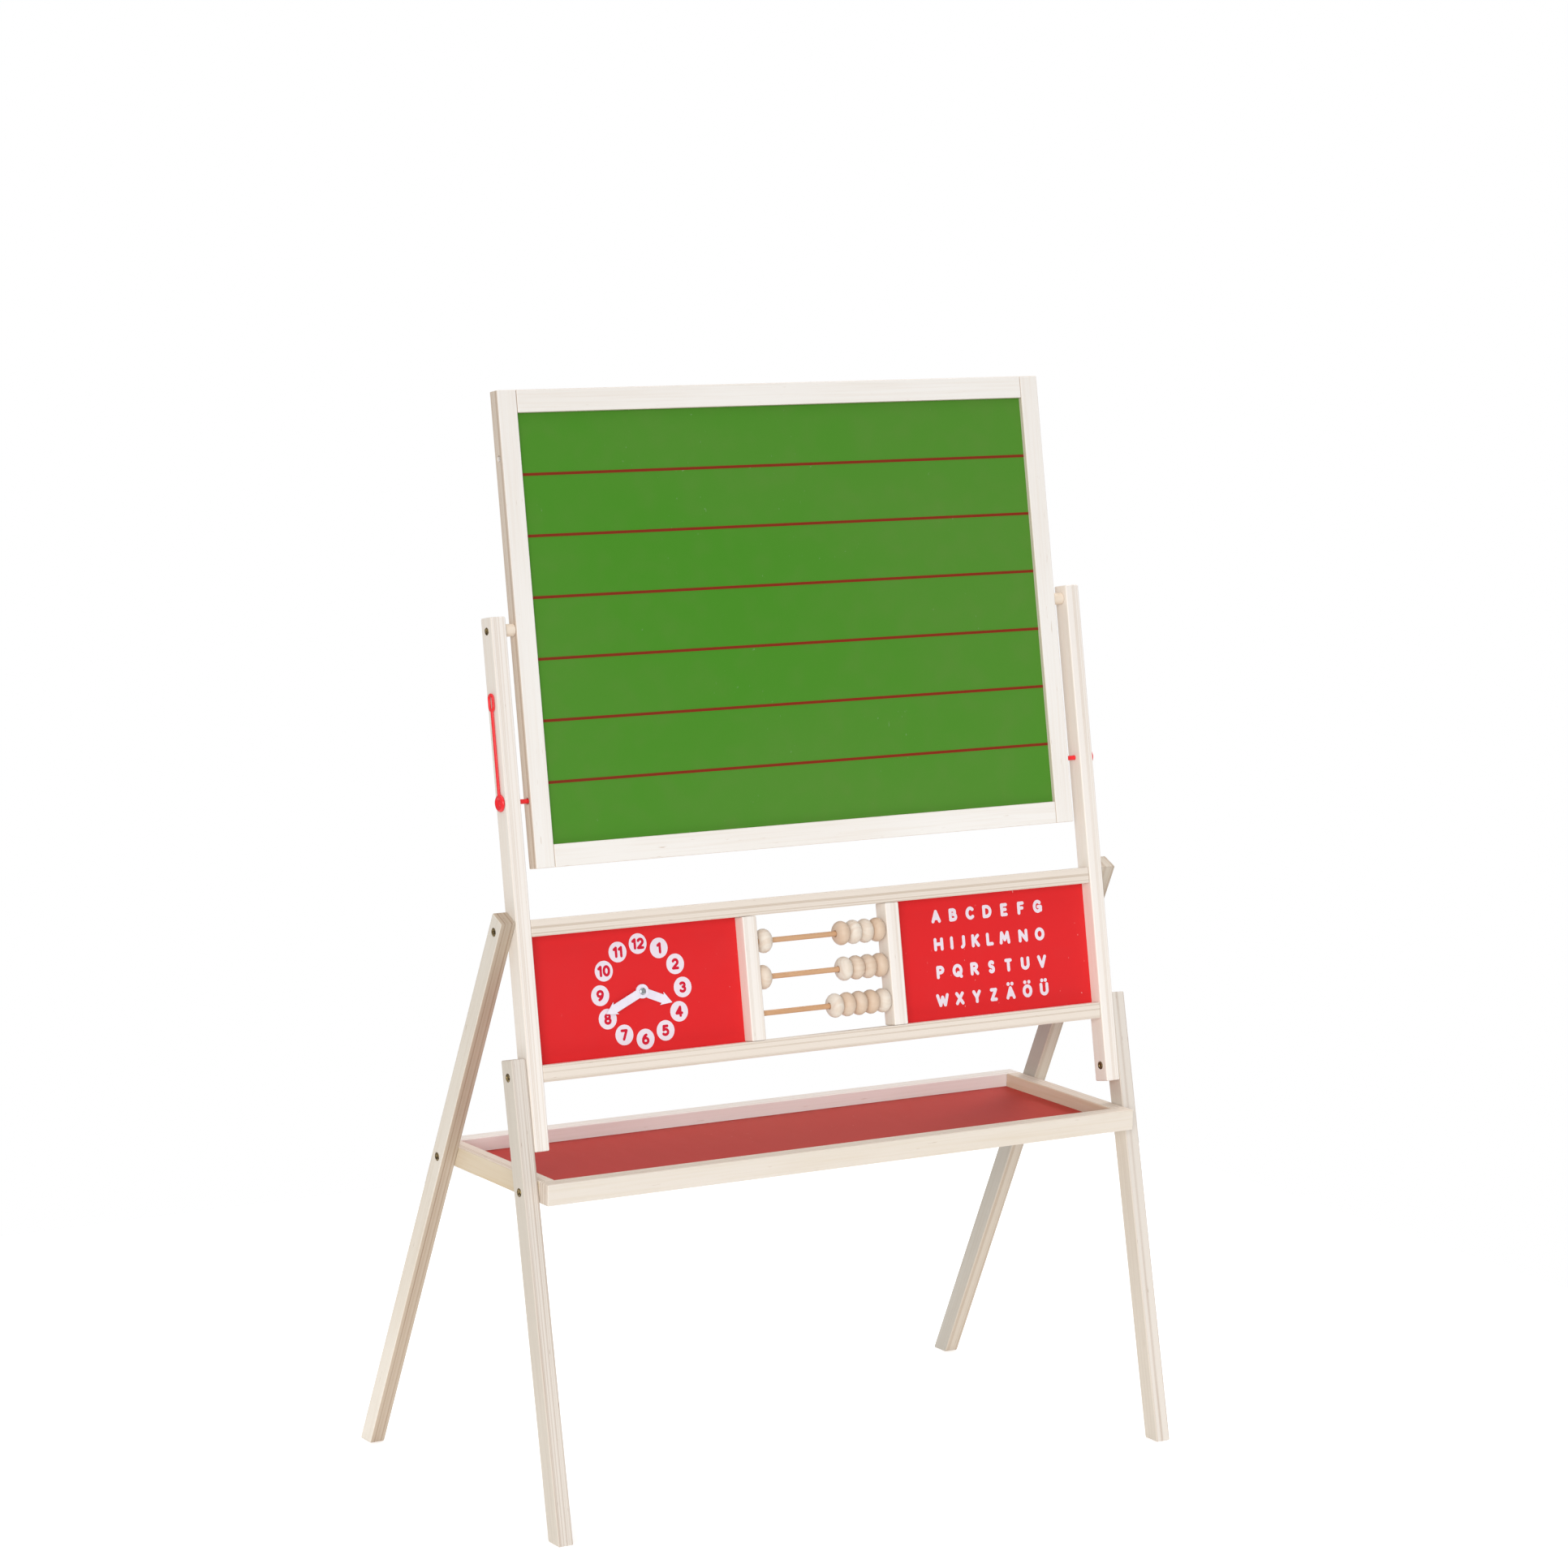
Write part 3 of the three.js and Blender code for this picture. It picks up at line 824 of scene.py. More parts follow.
@dataclass(frozen=True)
class Datum:
    """A frame of reference that leans back about a line across the easel.

    Attributes:
        origin: A point on that line.
        lean: How far its Z leans back from the vertical, in radians.
    """

    origin: Vector
    lean: float

    @classmethod
    def along(cls, node: str) -> Datum:
        """The frame that a straight member's own front face and middle give."""
        return cls(Box.of(node).middle, lean_of(node))

    @property
    def matrix(self) -> Matrix:
        """Takes this frame's places to the easel's."""
        return Matrix.Translation(self.origin) @ Matrix.Rotation(-self.lean, 4, "X")

    def box(self, node: str) -> Box:
        """The box round a CAD node, along this frame's axes.

        Args:
            node: The CAD node.

        Returns:
            The box.
        """
        inverse = self.matrix.inverted()
        places = [inverse @ vertex.co for vertex in frame["nodes"][node].data.vertices]
        low, high = (Vector([pick(p[i] for p in places) for i in range(3)]) for pick in (min, max))
        return Box(low, high)


# ------------------------------------------------------------------ shapes
@dataclass(frozen=True)
class Ring:
    """One section of a shape turned about X.

    Attributes:
        along: How far along X it lies.
        radius: Its radius, or half its width across flats.
        sides: How many flats it has, or 0 where it is round.
    """

    along: float
    radius: float
    sides: int = 0

    def reach(self, angle: float) -> float:
        """How far it reaches from the axis at an angle.

        Args:
            angle: The angle round the axis, in radians.

        Returns:
            The distance.
        """
        if not self.sides:
            return self.radius
        part = 2 * math.pi / self.sides
        return self.radius / math.cos(angle % part - part / 2)


class Shape:
    """A mesh in the making, in its own piece's axes."""

    def __init__(self) -> None:
        """Starts empty."""
        self.mesh = bmesh.new()

    def moved(self, matrix: Matrix) -> Shape:
        """Moves the whole shape and returns it.

        Args:
            matrix: Where it goes.

        Returns:
            This shape.
        """
        bmesh.ops.transform(self.mesh, matrix=matrix, verts=self.mesh.verts)
        if matrix.determinant() < 0:
            bmesh.ops.reverse_faces(self.mesh, faces=self.mesh.faces)
        return self

    def joined(self, *others: Shape) -> Shape:
        """Takes in other shapes, which are used up, and returns this one.

        Args:
            *others: The other shapes.

        Returns:
            This shape.
        """
        for other in others:
            data = other.baked("joining")
            self.mesh.from_mesh(data)
            bpy.data.meshes.remove(data)
        return self

    def eased(self, radius: float, segments: int = 3) -> Shape:
        """Rounds every edge that isn't nearly flat.

        Args:
            radius: The rounding's radius.
            segments: How many faces make up each rounding.

        Returns:
            This shape.
        """
        sharp = [edge for edge in self.mesh.edges if edge.calc_face_angle(0.0) > SHARP]
        bmesh.ops.bevel(
            self.mesh,
            geom=sharp,
            offset=radius,
            segments=segments,
            profile=0.5,
            affect="EDGES",
            clamp_overlap=True,
        )
        return self

    def sliced(self, point: Vector, normal: Vector) -> Shape:
        """Cuts away what lies past a plane and closes the cut.

        Args:
            point: A point on the plane.
            normal: The side that is cut away.

        Returns:
            This shape.
        """
        everything = [*self.mesh.verts, *self.mesh.edges, *self.mesh.faces]
        cut = bmesh.ops.bisect_plane(
            self.mesh,
            geom=everything,
            dist=MERGED,
            plane_co=point,
            plane_no=normal,
            clear_outer=True,
        )
        edges = [piece for piece in cut["geom_cut"] if isinstance(piece, bmesh.types.BMEdge)]
        bmesh.ops.contextual_create(self.mesh, geom=edges)
        return self

    def carved(self, *tools: Shape) -> Shape:
        """Cuts other shapes, which are used up, out of this one, and returns it."""
        return self._combined("DIFFERENCE", tools)

    def fused(self, *others: Shape) -> Shape:
        """Melts other shapes, which are used up, into this one, and returns it."""
        return self._combined("UNION", others)

    def _combined(self, operation: str, tools: Sequence[Shape]) -> Shape:
        """Combines this shape with others.

        Args:
            operation: DIFFERENCE or UNION.
            tools: The others, which are used up.

        Returns:
            The result; this shape is used up.
        """
        if not tools:
            return self
        body = bpy.data.objects.new("body", self.baked("body"))
        tool = bpy.data.objects.new("tool", Shape().joined(*tools).baked("tool"))
        for thing in (body, tool):
            bpy.context.scene.collection.objects.link(thing)
        step = body.modifiers.new("step", "BOOLEAN")
        step.object = tool
        step.operation = operation
        step.solver = "EXACT"
        step.use_self = operation == "UNION"
        data = evaluated(body)
        result = Shape()
        result.mesh.from_mesh(data)
        bpy.data.meshes.remove(data)
        bmesh.ops.remove_doubles(result.mesh, verts=result.mesh.verts, dist=MERGED)
        bmesh.ops.dissolve_degenerate(result.mesh, edges=result.mesh.edges, dist=MERGED)
        for thing in (body, tool):
            spare = thing.data
            bpy.data.objects.remove(thing)
            bpy.data.meshes.remove(spare)
        return result

    def baked(self, name: str) -> bpy.types.Mesh:
        """Turns this shape, which is used up, into mesh data with outward normals.

        Args:
            name: The mesh's name.

        Returns:
            The mesh.
        """
        bmesh.ops.recalc_face_normals(self.mesh, faces=self.mesh.faces)
        data = bpy.data.meshes.new(name)
        self.mesh.to_mesh(data)
        self.mesh.free()
        return data


def evaluated(thing: bpy.types.Object) -> bpy.types.Mesh:
    """A copy of an object's mesh with its modifiers applied.

    Args:
        thing: The object.

    Returns:
        The copy.
    """
    bpy.context.view_layer.update()
    graph = bpy.context.evaluated_depsgraph_get()
    return bpy.data.meshes.new_from_object(thing.evaluated_get(graph), depsgraph=graph)


def block(size: Sequence[float]) -> Shape:
    """A plain block about the origin.

    Args:
        size: Its size along each axis.

    Returns:
        The shape.
    """
    shape = Shape()
    bmesh.ops.create_cube(shape.mesh, size=1.0, matrix=Matrix.Diagonal((*size, 1.0)))
    return shape


def turned(rings: Sequence[Ring], segments: int = 32, hollow: bool = False) -> Shape:
    """A shape turned about X.

    Args:
        rings: Its sections, from one end to the other.
        segments: How many faces go round it.
        hollow: Whether the last section joins the first, round a bore.

    Returns:
        The shape.
    """
    shape = Shape()
    loops: list[list[bmesh.types.BMVert]] = []
    for ring in rings:
        if ring.radius < NOTHING:
            loops.append([shape.mesh.verts.new((ring.along, 0.0, 0.0))] * segments)
            continue
        angles = [2 * math.pi * i / segments for i in range(segments)]
        loops.append(
            [
                shape.mesh.verts.new(
                    (ring.along, ring.reach(a) * math.cos(a), ring.reach(a) * math.sin(a))
                )
                for a in angles
            ]
        )
    pairs = list(zip(loops, loops[1:])) + ([(loops[-1], loops[0])] if hollow else [])
    for near, far in pairs:
        for i in range(segments):
            j = (i + 1) % segments
            corners = dict.fromkeys((near[i], near[j], far[j], far[i]))
            if len(corners) > 2:
                shape.mesh.faces.new(list(corners))
    if not hollow:
        for loop, ring in ((loops[0], rings[0]), (loops[-1], rings[-1])):
            if ring.radius >= NOTHING:
                shape.mesh.faces.new(loop)
    return shape


def swept(
    path: Sequence[Vector], half_width: float, half_depth: float, closed: bool, sides: int = 12
) -> Shape:
    """An oval section drawn along a path that lies across X.

    Args:
        path: The points of its middle line.
        half_width: Half its width in the path's plane.
        half_depth: Half its depth along X.
        closed: Whether the path ends where it began.
        sides: How many faces go round the section.

    Returns:
        The shape.
    """
    shape = Shape()
    count = len(path)
    loops: list[list[bmesh.types.BMVert]] = []
    for i, point in enumerate(path):
        before = path[(i - 1) % count] if closed else path[max(i - 1, 0)]
        after = path[(i + 1) % count] if closed else path[min(i + 1, count - 1)]
        across = (after - before).cross(Axis.X.unit).normalized()
        loop = []
        for k in range(sides):
            angle = 2 * math.pi * k / sides
            out = across * half_width * math.cos(angle)
            deep = Axis.X.unit * half_depth * math.sin(angle)
            loop.append(shape.mesh.verts.new(point + out + deep))
        loops.append(loop)
    pairs = list(zip(loops, loops[1:])) + ([(loops[-1], loops[0])] if closed else [])
    for near, far in pairs:
        for k in range(sides):
            j = (k + 1) % sides
            shape.mesh.faces.new((near[k], near[j], far[j], far[k]))
    if not closed:
        shape.mesh.faces.new(loops[0])
        shape.mesh.faces.new(loops[-1])
    return shape


def plate(outline: Sequence[tuple[float, float]], thickness: float) -> Shape:
    """A flat plate drawn in X and Z, which faces -Y, with its front at y = 0.

    Args:
        outline: Its corners as x and z.
        thickness: How thick it is.

    Returns:
        The shape.
    """
    shape = Shape()
    front = shape.mesh.faces.new([shape.mesh.verts.new((x, 0.0, z)) for x, z in outline])
    back = bmesh.ops.extrude_face_region(shape.mesh, geom=[front])
    corners = [piece for piece in back["geom"] if isinstance(piece, bmesh.types.BMVert)]
    bmesh.ops.translate(shape.mesh, verts=corners, vec=(0.0, thickness, 0.0))
    return shape


def circle(
    radius: float, count: int, start: float = 0.0, stop: float = 2 * math.pi
) -> list[tuple[float, float]]:
    """Points round part of a circle.

    Args:
        radius: The circle's radius.
        count: How many steps it is divided into.
        start: The first point's angle.
        stop: The angle at the end of the last step.

    Returns:
        The points as x and z; the one at stop is left out of a whole circle.
    """
    whole = abs(stop - start) > 2 * math.pi - NOTHING
    angles = [start + (stop - start) * i / count for i in range(count if whole else count + 1)]
    return [(radius * math.cos(a), radius * math.sin(a)) for a in angles]


@dataclass(frozen=True)
class Arc:
    """Part of an oval in a letter's stroke.

    Attributes:
        x: Its middle across.
        z: Its middle up.
        wide: Half its width.
        high: Half its height.
        start: The angle where it starts, in degrees.
        stop: The angle where it ends, in degrees.
    """

    x: float
    z: float
    wide: float
    high: float
    start: float
    stop: float

    def points(self) -> list[tuple[float, float]]:
        """The points along it.

        Returns:
            The points as x and z.
        """
        count = max(4, round(abs(self.stop - self.start) / ARC_STEP))
        angles = [
            math.radians(self.start + (self.stop - self.start) * i / count)
            for i in range(count + 1)
        ]
        return [
            (self.x + self.wide * math.cos(a), self.z + self.high * math.sin(a)) for a in angles
        ]


Stroke = tuple["Arc | tuple[float, float]", ...]
STEM: Stroke = ((0, 0), (0, 1))
OVAL: Stroke = (Arc(0.5, 0.5, 0.5, 0.5, 0, 360),)
SLOPES: Stroke = ((0, 0), (0.5, 1), (1, 0))
CROSSBAR: Stroke = ((0.2, 0.3), (0.8, 0.3))
CUP: Stroke = ((0, 1), Arc(0.5, 0.4, 0.5, 0.4, 180, 360), (1, 1))
BOWL_OF_P: Stroke = ((0, 1), Arc(0.5, 0.73, 0.5, 0.27, 90, -90), (0, 0.46))
BOWL_OF_R: Stroke = ((0, 1), Arc(0.45, 0.75, 0.45, 0.25, 90, -90), (0, 0.5))
UPPER_OF_B: Stroke = ((0, 1), Arc(0.5, 0.77, 0.36, 0.23, 90, -90), (0, 0.54))
LOWER_OF_B: Stroke = ((0, 0.54), Arc(0.55, 0.27, 0.45, 0.27, 90, -90), (0, 0))
HOOK_OF_5: Stroke = (Arc(0.42, 0.32, 0.58, 0.32, 125, -140),)
DOTS: tuple[Stroke, ...] = (((0.2, 1.42), (0.2, 1.42)), ((0.8, 1.42), (0.8, 1.42)))
# each letter or number: its width as a share of its height, and its strokes on a square of side 1
GLYPHS: dict[str, tuple[float, tuple[Stroke, ...]]] = {
    "A": (0.8, (SLOPES, CROSSBAR)),
    "B": (0.66, (STEM, UPPER_OF_B, LOWER_OF_B)),
    "C": (0.74, ((Arc(0.55, 0.5, 0.55, 0.5, 48, 312),),)),
    "D": (0.78, (STEM, ((0, 1), Arc(0.4, 0.5, 0.6, 0.5, 90, -90), (0, 0)))),
    "E": (0.52, (STEM, ((0, 1), (1, 1)), ((0, 0.52), (0.85, 0.52)), ((0, 0), (1, 0)))),
    "F": (0.5, (STEM, ((0, 1), (1, 1)), ((0, 0.5), (0.85, 0.5)))),
    "G": (0.78, ((Arc(0.52, 0.5, 0.52, 0.5, 48, 345),), ((0.62, 0.46), (1, 0.46), (1, 0.1)))),
    "H": (0.8, (STEM, ((1, 0), (1, 1)), ((0, 0.52), (1, 0.52)))),
    "I": (0.0, (STEM,)),
    "J": (0.26, (((1, 1), Arc(-0.1, 0.3, 1.1, 0.32, 0, -75)),)),
    "K": (0.66, (STEM, ((0.95, 1), (0.05, 0.46)), ((0.3, 0.6), (1, 0)))),
    "L": (0.54, (((0, 1), (0, 0), (1, 0)),)),
    "M": (0.98, (((0, 0), (0.13, 1), (0.5, 0.28), (0.87, 1), (1, 0)),)),
    "N": (0.8, (((0, 0), (0, 1), (1, 0), (1, 1)),)),
    "O": (0.86, (OVAL,)),
    "P": (0.62, (STEM, BOWL_OF_P)),
    "Q": (0.88, (OVAL, ((0.58, 0.26), (0.98, -0.12)))),
    "R": (0.68, (STEM, BOWL_OF_R, ((0.4, 0.5), (1, 0)))),
    "S": (0.44, ((Arc(0.5, 0.76, 0.5, 0.24, 35, 250), Arc(0.5, 0.25, 0.5, 0.25, 70, -145)),)),
    "T": (0.56, (((0, 1), (1, 1)), ((0.5, 1), (0.5, 0)))),
    "U": (0.74, (CUP,)),
    "V": (0.78, (((0, 1), (0.5, 0), (1, 1)),)),
    "W": (1.2, (((0, 1), (0.26, 0), (0.5, 0.8), (0.74, 0), (1, 1)),)),
    "X": (0.7, (((0, 0), (1, 1)), ((0, 1), (1, 0)))),
    "Y": (0.7, (((0, 1), (0.5, 0.42), (1, 1)), ((0.5, 0.42), (0.5, 0)))),
    "Z": (0.54, (((0, 1), (1, 1), (0, 0), (1, 0)),)),
    "Ä": (0.8, (SLOPES, CROSSBAR, *DOTS)),
    "Ö": (0.86, (OVAL, *DOTS)),
    "Ü": (0.74, (CUP, *DOTS)),
    "0": (0.56, (OVAL,)),
    "1": (0.22, (((0, 0.8), (1, 1), (1, 0)),)),
    "2": (0.54, ((Arc(0.5, 0.7, 0.48, 0.3, 155, -35), (0, 0), (1, 0)),)),
    "3": (0.5, ((Arc(0.45, 0.76, 0.5, 0.24, 140, -80), Arc(0.45, 0.27, 0.55, 0.27, 80, -145)),)),
    "4": (0.6, (((0.72, 0), (0.72, 1), (0, 0.3), (1, 0.3)),)),
    "5": (0.52, (((0.9, 1), (0.16, 1), (0.08, 0.56)), HOOK_OF_5)),
    "6": (0.56, ((Arc(0.5, 0.31, 0.5, 0.31, 0, 360),), (Arc(0.95, 0.31, 0.95, 0.69, 180, 105),))),
    "7": (0.52, (((0, 1), (1, 1), (0.35, 0)),)),
    "8": (0.54, ((Arc(0.5, 0.77, 0.42, 0.23, 0, 360),), (Arc(0.5, 0.27, 0.5, 0.27, 0, 360),))),
    "9": (0.56, ((Arc(0.5, 0.69, 0.5, 0.31, 0, 360),), (Arc(0.05, 0.69, 0.95, 0.69, 0, -75),))),
}


def ribbon(path: Sequence[Vector], half: float, closed: bool) -> Shape:
    """A flat band of printed film along a path in X and Z, which faces -Y.

    Args:
        path: The points of its middle line.
        half: Half its width.
        closed: Whether the path ends where it began.

    Returns:
        The shape, whose front is at y = -FILM and its back at y = 0.
    """
    shape = Shape()
    count = len(path)
    rows: list[list[bmesh.types.BMVert]] = []
    ends: dict[int, list[tuple[float, float]]] = {}
    for i, point in enumerate(path):
        before = path[(i - 1) % count] if closed else path[max(i - 1, 0)]
        after = path[(i + 1) % count] if closed else path[min(i + 1, count - 1)]
        along = (after - before).normalized()
        out = along.cross(Axis.Y.unit)
        if not closed and i in (0, count - 1):
            start = math.atan2(out.z, out.x) if i else math.atan2(-out.z, -out.x)
            ends[i] = circle(half, CAP, start, start - math.pi)
        rows.append(
            [
                shape.mesh.verts.new(point + out * way * half + Axis.Y.unit * deep)
                for way, deep in ((1, -FILM), (-1, -FILM), (-1, 0.0), (1, 0.0))
            ]
        )
    pairs = list(zip(rows, rows[1:])) + ([(rows[-1], rows[0])] if closed else [])
    for near, far in pairs:
        for k in range(4):
            j = (k + 1) % 4
            shape.mesh.faces.new((near[k], near[j], far[j], far[k]))
    for i, arc in ends.items():
        corners = rows[i]
        middle = path[i]
        rim = [
            [
                shape.mesh.verts.new(middle + Vector((x, 0.0, z)) + Axis.Y.unit * deep)
                for x, z in arc[1:-1]
            ]
            for deep in (-FILM, 0.0)
        ]
        first, last = (0, 1) if i else (1, 0)
        front = [corners[first], *rim[0], corners[last]]
        back = [corners[3 - first], *rim[1], corners[3 - last]]
        shape.mesh.faces.new(front)
        shape.mesh.faces.new(back)
        for (a, b), (c, d) in zip(zip(front, front[1:]), zip(back, back[1:])):
            shape.mesh.faces.new((a, b, d, c))
    return shape


@dataclass(frozen=True)
class Lettering:
    """Flat rounded letters and numbers of printed film.

    Attributes:
        height: The height of a capital letter.
        weight: The width of its strokes.
        stretch: Width as a share of the plain letter's.
        space: From one number to the next in a pair.
    """

    height: float
    weight: float
    stretch: float = 1.0
    space: float = 0.001

    def _bands(self, stroke: Stroke, scale: Vector, shift: Vector) -> list[Shape]:
        """The bands of one stroke, which is parted at its corners.

        Args:
            stroke: The stroke.
            scale: The size of the glyph's square.
            shift: Where the square's corner is.

        Returns:
            One band for each smooth stretch.
        """
        flat = [p for step in stroke for p in (step.points() if isinstance(step, Arc) else [step])]
        points = [Vector((x * scale.x, 0.0, z * scale.z)) + shift for x, z in flat]
        half = self.weight * DRAWN / 2
        if (points[0] - points[-1]).length < NOTHING:
            if len(points) > 2:
                return [ribbon(points[:-1], half, closed=True)]
            dot = plate(circle(half * DOT, 2 * CAP), FILM)
            return [dot.moved(Matrix.Translation(points[0] - Axis.Y.unit * FILM))]
        points = [p for p, q in zip(points, points[1:]) if (p - q).length > NOTHING] + [points[-1]]
        bands, start = [], 0
        for i in range(1, len(points)):
            last = i == len(points) - 1
            turn = 0.0 if last else (points[i + 1] - points[i]).angle(points[i] - points[i - 1])
            if last or turn > CORNER:
                bands.append(ribbon(points[start : i + 1], half, closed=False))
                start = i
        return bands

    def _width(self, sign: str) -> float:
        """The width of one sign over its strokes' middle lines."""
        return GLYPHS[sign][0] * self.stretch * (self.height - self.weight)

    def write(self, text: str, x: float, z: float) -> Shape:
        """Writes a letter, or a number of one or two digits.

        Args:
            text: What it says.
            x: Where its middle is across.
            z: Where the middle of its capitals is up.

        Returns:
            The print, whose front is at y = -PRINT and its back at y = 0.
        """
        tall = self.height - self.weight
        gap = self.weight + self.space
        left = x - (sum(map(self._width, text)) + gap * (len(text) - 1)) / 2
        whole = Shape()
        for sign in text:
            wide = self._width(sign)
            scale = Vector((wide, 0.0, tall)) * DRAWN
            shift = Vector((left, 0.0, z - tall / 2)) * DRAWN
            first, *others = [b for s in GLYPHS[sign][1] for b in self._bands(s, scale, shift)]
            whole.joined(first.fused(*others))
            left += wide + gap
        return whole.moved(Matrix.Diagonal((1 / DRAWN, PRINT / FILM, 1 / DRAWN, 1.0)))


# ------------------------------------------------------------------ pieces
@dataclass(frozen=True)
class Part:
    """What a finished piece is called, what it wears, and what it moves with.

    Attributes:
        name: The piece's name.
        finish: Its finish.
        body: The CAD body that it rides on.
        slot: The record's material slot, or None for small print; not used.
        nodes: The CAD nodes that it stands for.
    """

    name: str
    finish: Finish
    body: str = "frame"
    slot: str | None = None
    nodes: tuple[str, ...] = ()


class Workshop:
    """Turns shapes into pieces of the easel."""

    def __init__(self, seed: int) -> None:
        """Starts with no finishes made.

        Args:
            seed: Sets the random places in the wood that pieces are cut from.
        """
        self.random = random.Random(seed)
        self.materials: dict[str, bpy.types.Material] = {}

    def material(self, finish: Finish) -> bpy.types.Material:
        """The material of a finish, made once.

        Args:
            finish: The finish.

        Returns:
            The material.
        """
        if finish.name not in self.materials:
            self.materials[finish.name] = finish.material()
        return self.materials[finish.name]

    def add(self, part: Part, shape: Shape, matrix: Matrix) -> bpy.types.Object:
        """Finishes a shape and puts it in its place.

        Args:
            part: What the piece is.
            shape: Its shape, which is used up.
            matrix: Takes the piece's own axes to the easel's.

        Returns:
            The piece.
        """
        for edge in shape.mesh.edges:
            edge.smooth = edge.calc_face_angle(0.0) < CREASE
        for face in shape.mesh.faces:
            face.smooth = True
        raw = bpy.data.objects.new("raw", shape.baked(part.name))
        bpy.context.scene.collection.objects.link(raw)
        normals = raw.modifiers.new("normals", "WEIGHTED_NORMAL")
        normals.keep_sharp = True
        data = evaluated(raw)
        spare = raw.data
        bpy.data.objects.remove(raw)
        bpy.data.meshes.remove(spare)
        data.name = part.name
        self._mark_grain(data)
        data.transform(matrix)
        data.materials.clear()
        data.materials.append(self.material(part.finish))
        piece = bpy.data.objects.new(part.name, data)
        bpy.context.scene.collection.objects.link(piece)
        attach(piece, part.body)
        if part.nodes:
            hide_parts(*part.nodes)
        LOG.info("%s: %d faces on %s", part.name, len(data.polygons), part.body)
        return piece

    def _mark_grain(self, data: bpy.types.Mesh) -> None:
        """Notes where each point lies in a stock of material of its own, and which way it faces.

        Args:
            data: The piece's mesh, in its own axes.
        """
        pairs, wide, long = STOCK
        spot = Vector(
            (
                2 * PLY * self.random.randrange(pairs),
                self.random.uniform(0.0, wide),
                self.random.uniform(0.0, long),
            )
        )
        places = data.attributes.new(GRAIN, "FLOAT_VECTOR", "POINT")
        flat = [part for vertex in data.vertices for part in vertex.co + spot]
        places.data.foreach_set("vector", flat)
        normals = [part for corner in data.corner_normals for part in corner.vector]
        facings = data.attributes.new(FACING, "FLOAT_VECTOR", "CORNER")
        facings.data.foreach_set("vector", normals)


@dataclass(frozen=True)
class Bore:
    """A round hole along X, with an eased mouth.

    Attributes:
        axis: A point on its axis.
        start: The X of its mouth.
        stop: The X of its bottom.
        radius: Its radius.
        mouth: How far its mouth is eased.
    """

    axis: Vector
    start: float
    stop: float
    radius: float
    mouth: float = 0.0003

    def tool(self) -> Shape:
        """The shape that cuts it, in the easel's axes.

        Returns:
            The shape.
        """
        way = math.copysign(1.0, self.stop - self.start)
        rings = [
            Ring(self.start - way * CLEAR, self.radius + self.mouth),
            Ring(self.start, self.radius + self.mouth),
            Ring(self.start + way * self.mouth, self.radius),
            Ring(self.stop, self.radius),
        ]
        at = Matrix.Translation((0.0, self.axis.y, self.axis.z))
        return turned(rings, segments=24).moved(at)


@dataclass(frozen=True)
class Stick:
    """A straight wooden member with eased edges, which stands for one CAD node.

    Attributes:
        node: The CAD node, whose box it fills.
        datum: The frame that the member runs along.
        grain: That frame's axis along the grain.
        stack: That frame's axis across the plies.
        finish: Its finish.
        slot: The record's material slot.
        body: The CAD body that it rides on.
        easing: The radius of its edges.
        bores: The holes in it.
        on_floor: Whether it is cut off level with the floor.
    """

    node: str
    datum: Datum
    grain: Axis
    stack: Axis
    finish: Finish
    slot: str = "plywood"
    body: str = "frame"
    easing: float = 0.0016
    bores: tuple[Bore, ...] = ()
    on_floor: bool = False

    def build(self, shop: Workshop) -> bpy.types.Object:
        """Makes the member.

        Args:
            shop: What finishes it.

        Returns:
            The piece.
        """
        box = self.datum.box(self.node)
        axes = [self.stack.unit, self.grain.unit.cross(self.stack.unit), self.grain.unit]
        turn = Matrix(axes).transposed().to_4x4()
        matrix = self.datum.matrix @ Matrix.Translation(box.middle) @ turn
        inverse = matrix.inverted()
        shape = block([abs(box.size.dot(axis)) for axis in axes])
        if self.on_floor:
            down = inverse.to_3x3() @ Vector((0.0, 0.0, -1.0))
            shape.sliced(inverse @ Vector((0.0, 0.0, 0.0)), down)
        shape.eased(self.easing)
        shape = shape.carved(*(bore.tool().moved(inverse) for bore in self.bores))
        part = Part(f"{self.node}_timber", self.finish, self.body, self.slot, (self.node,))
        return shop.add(part, shape, matrix)


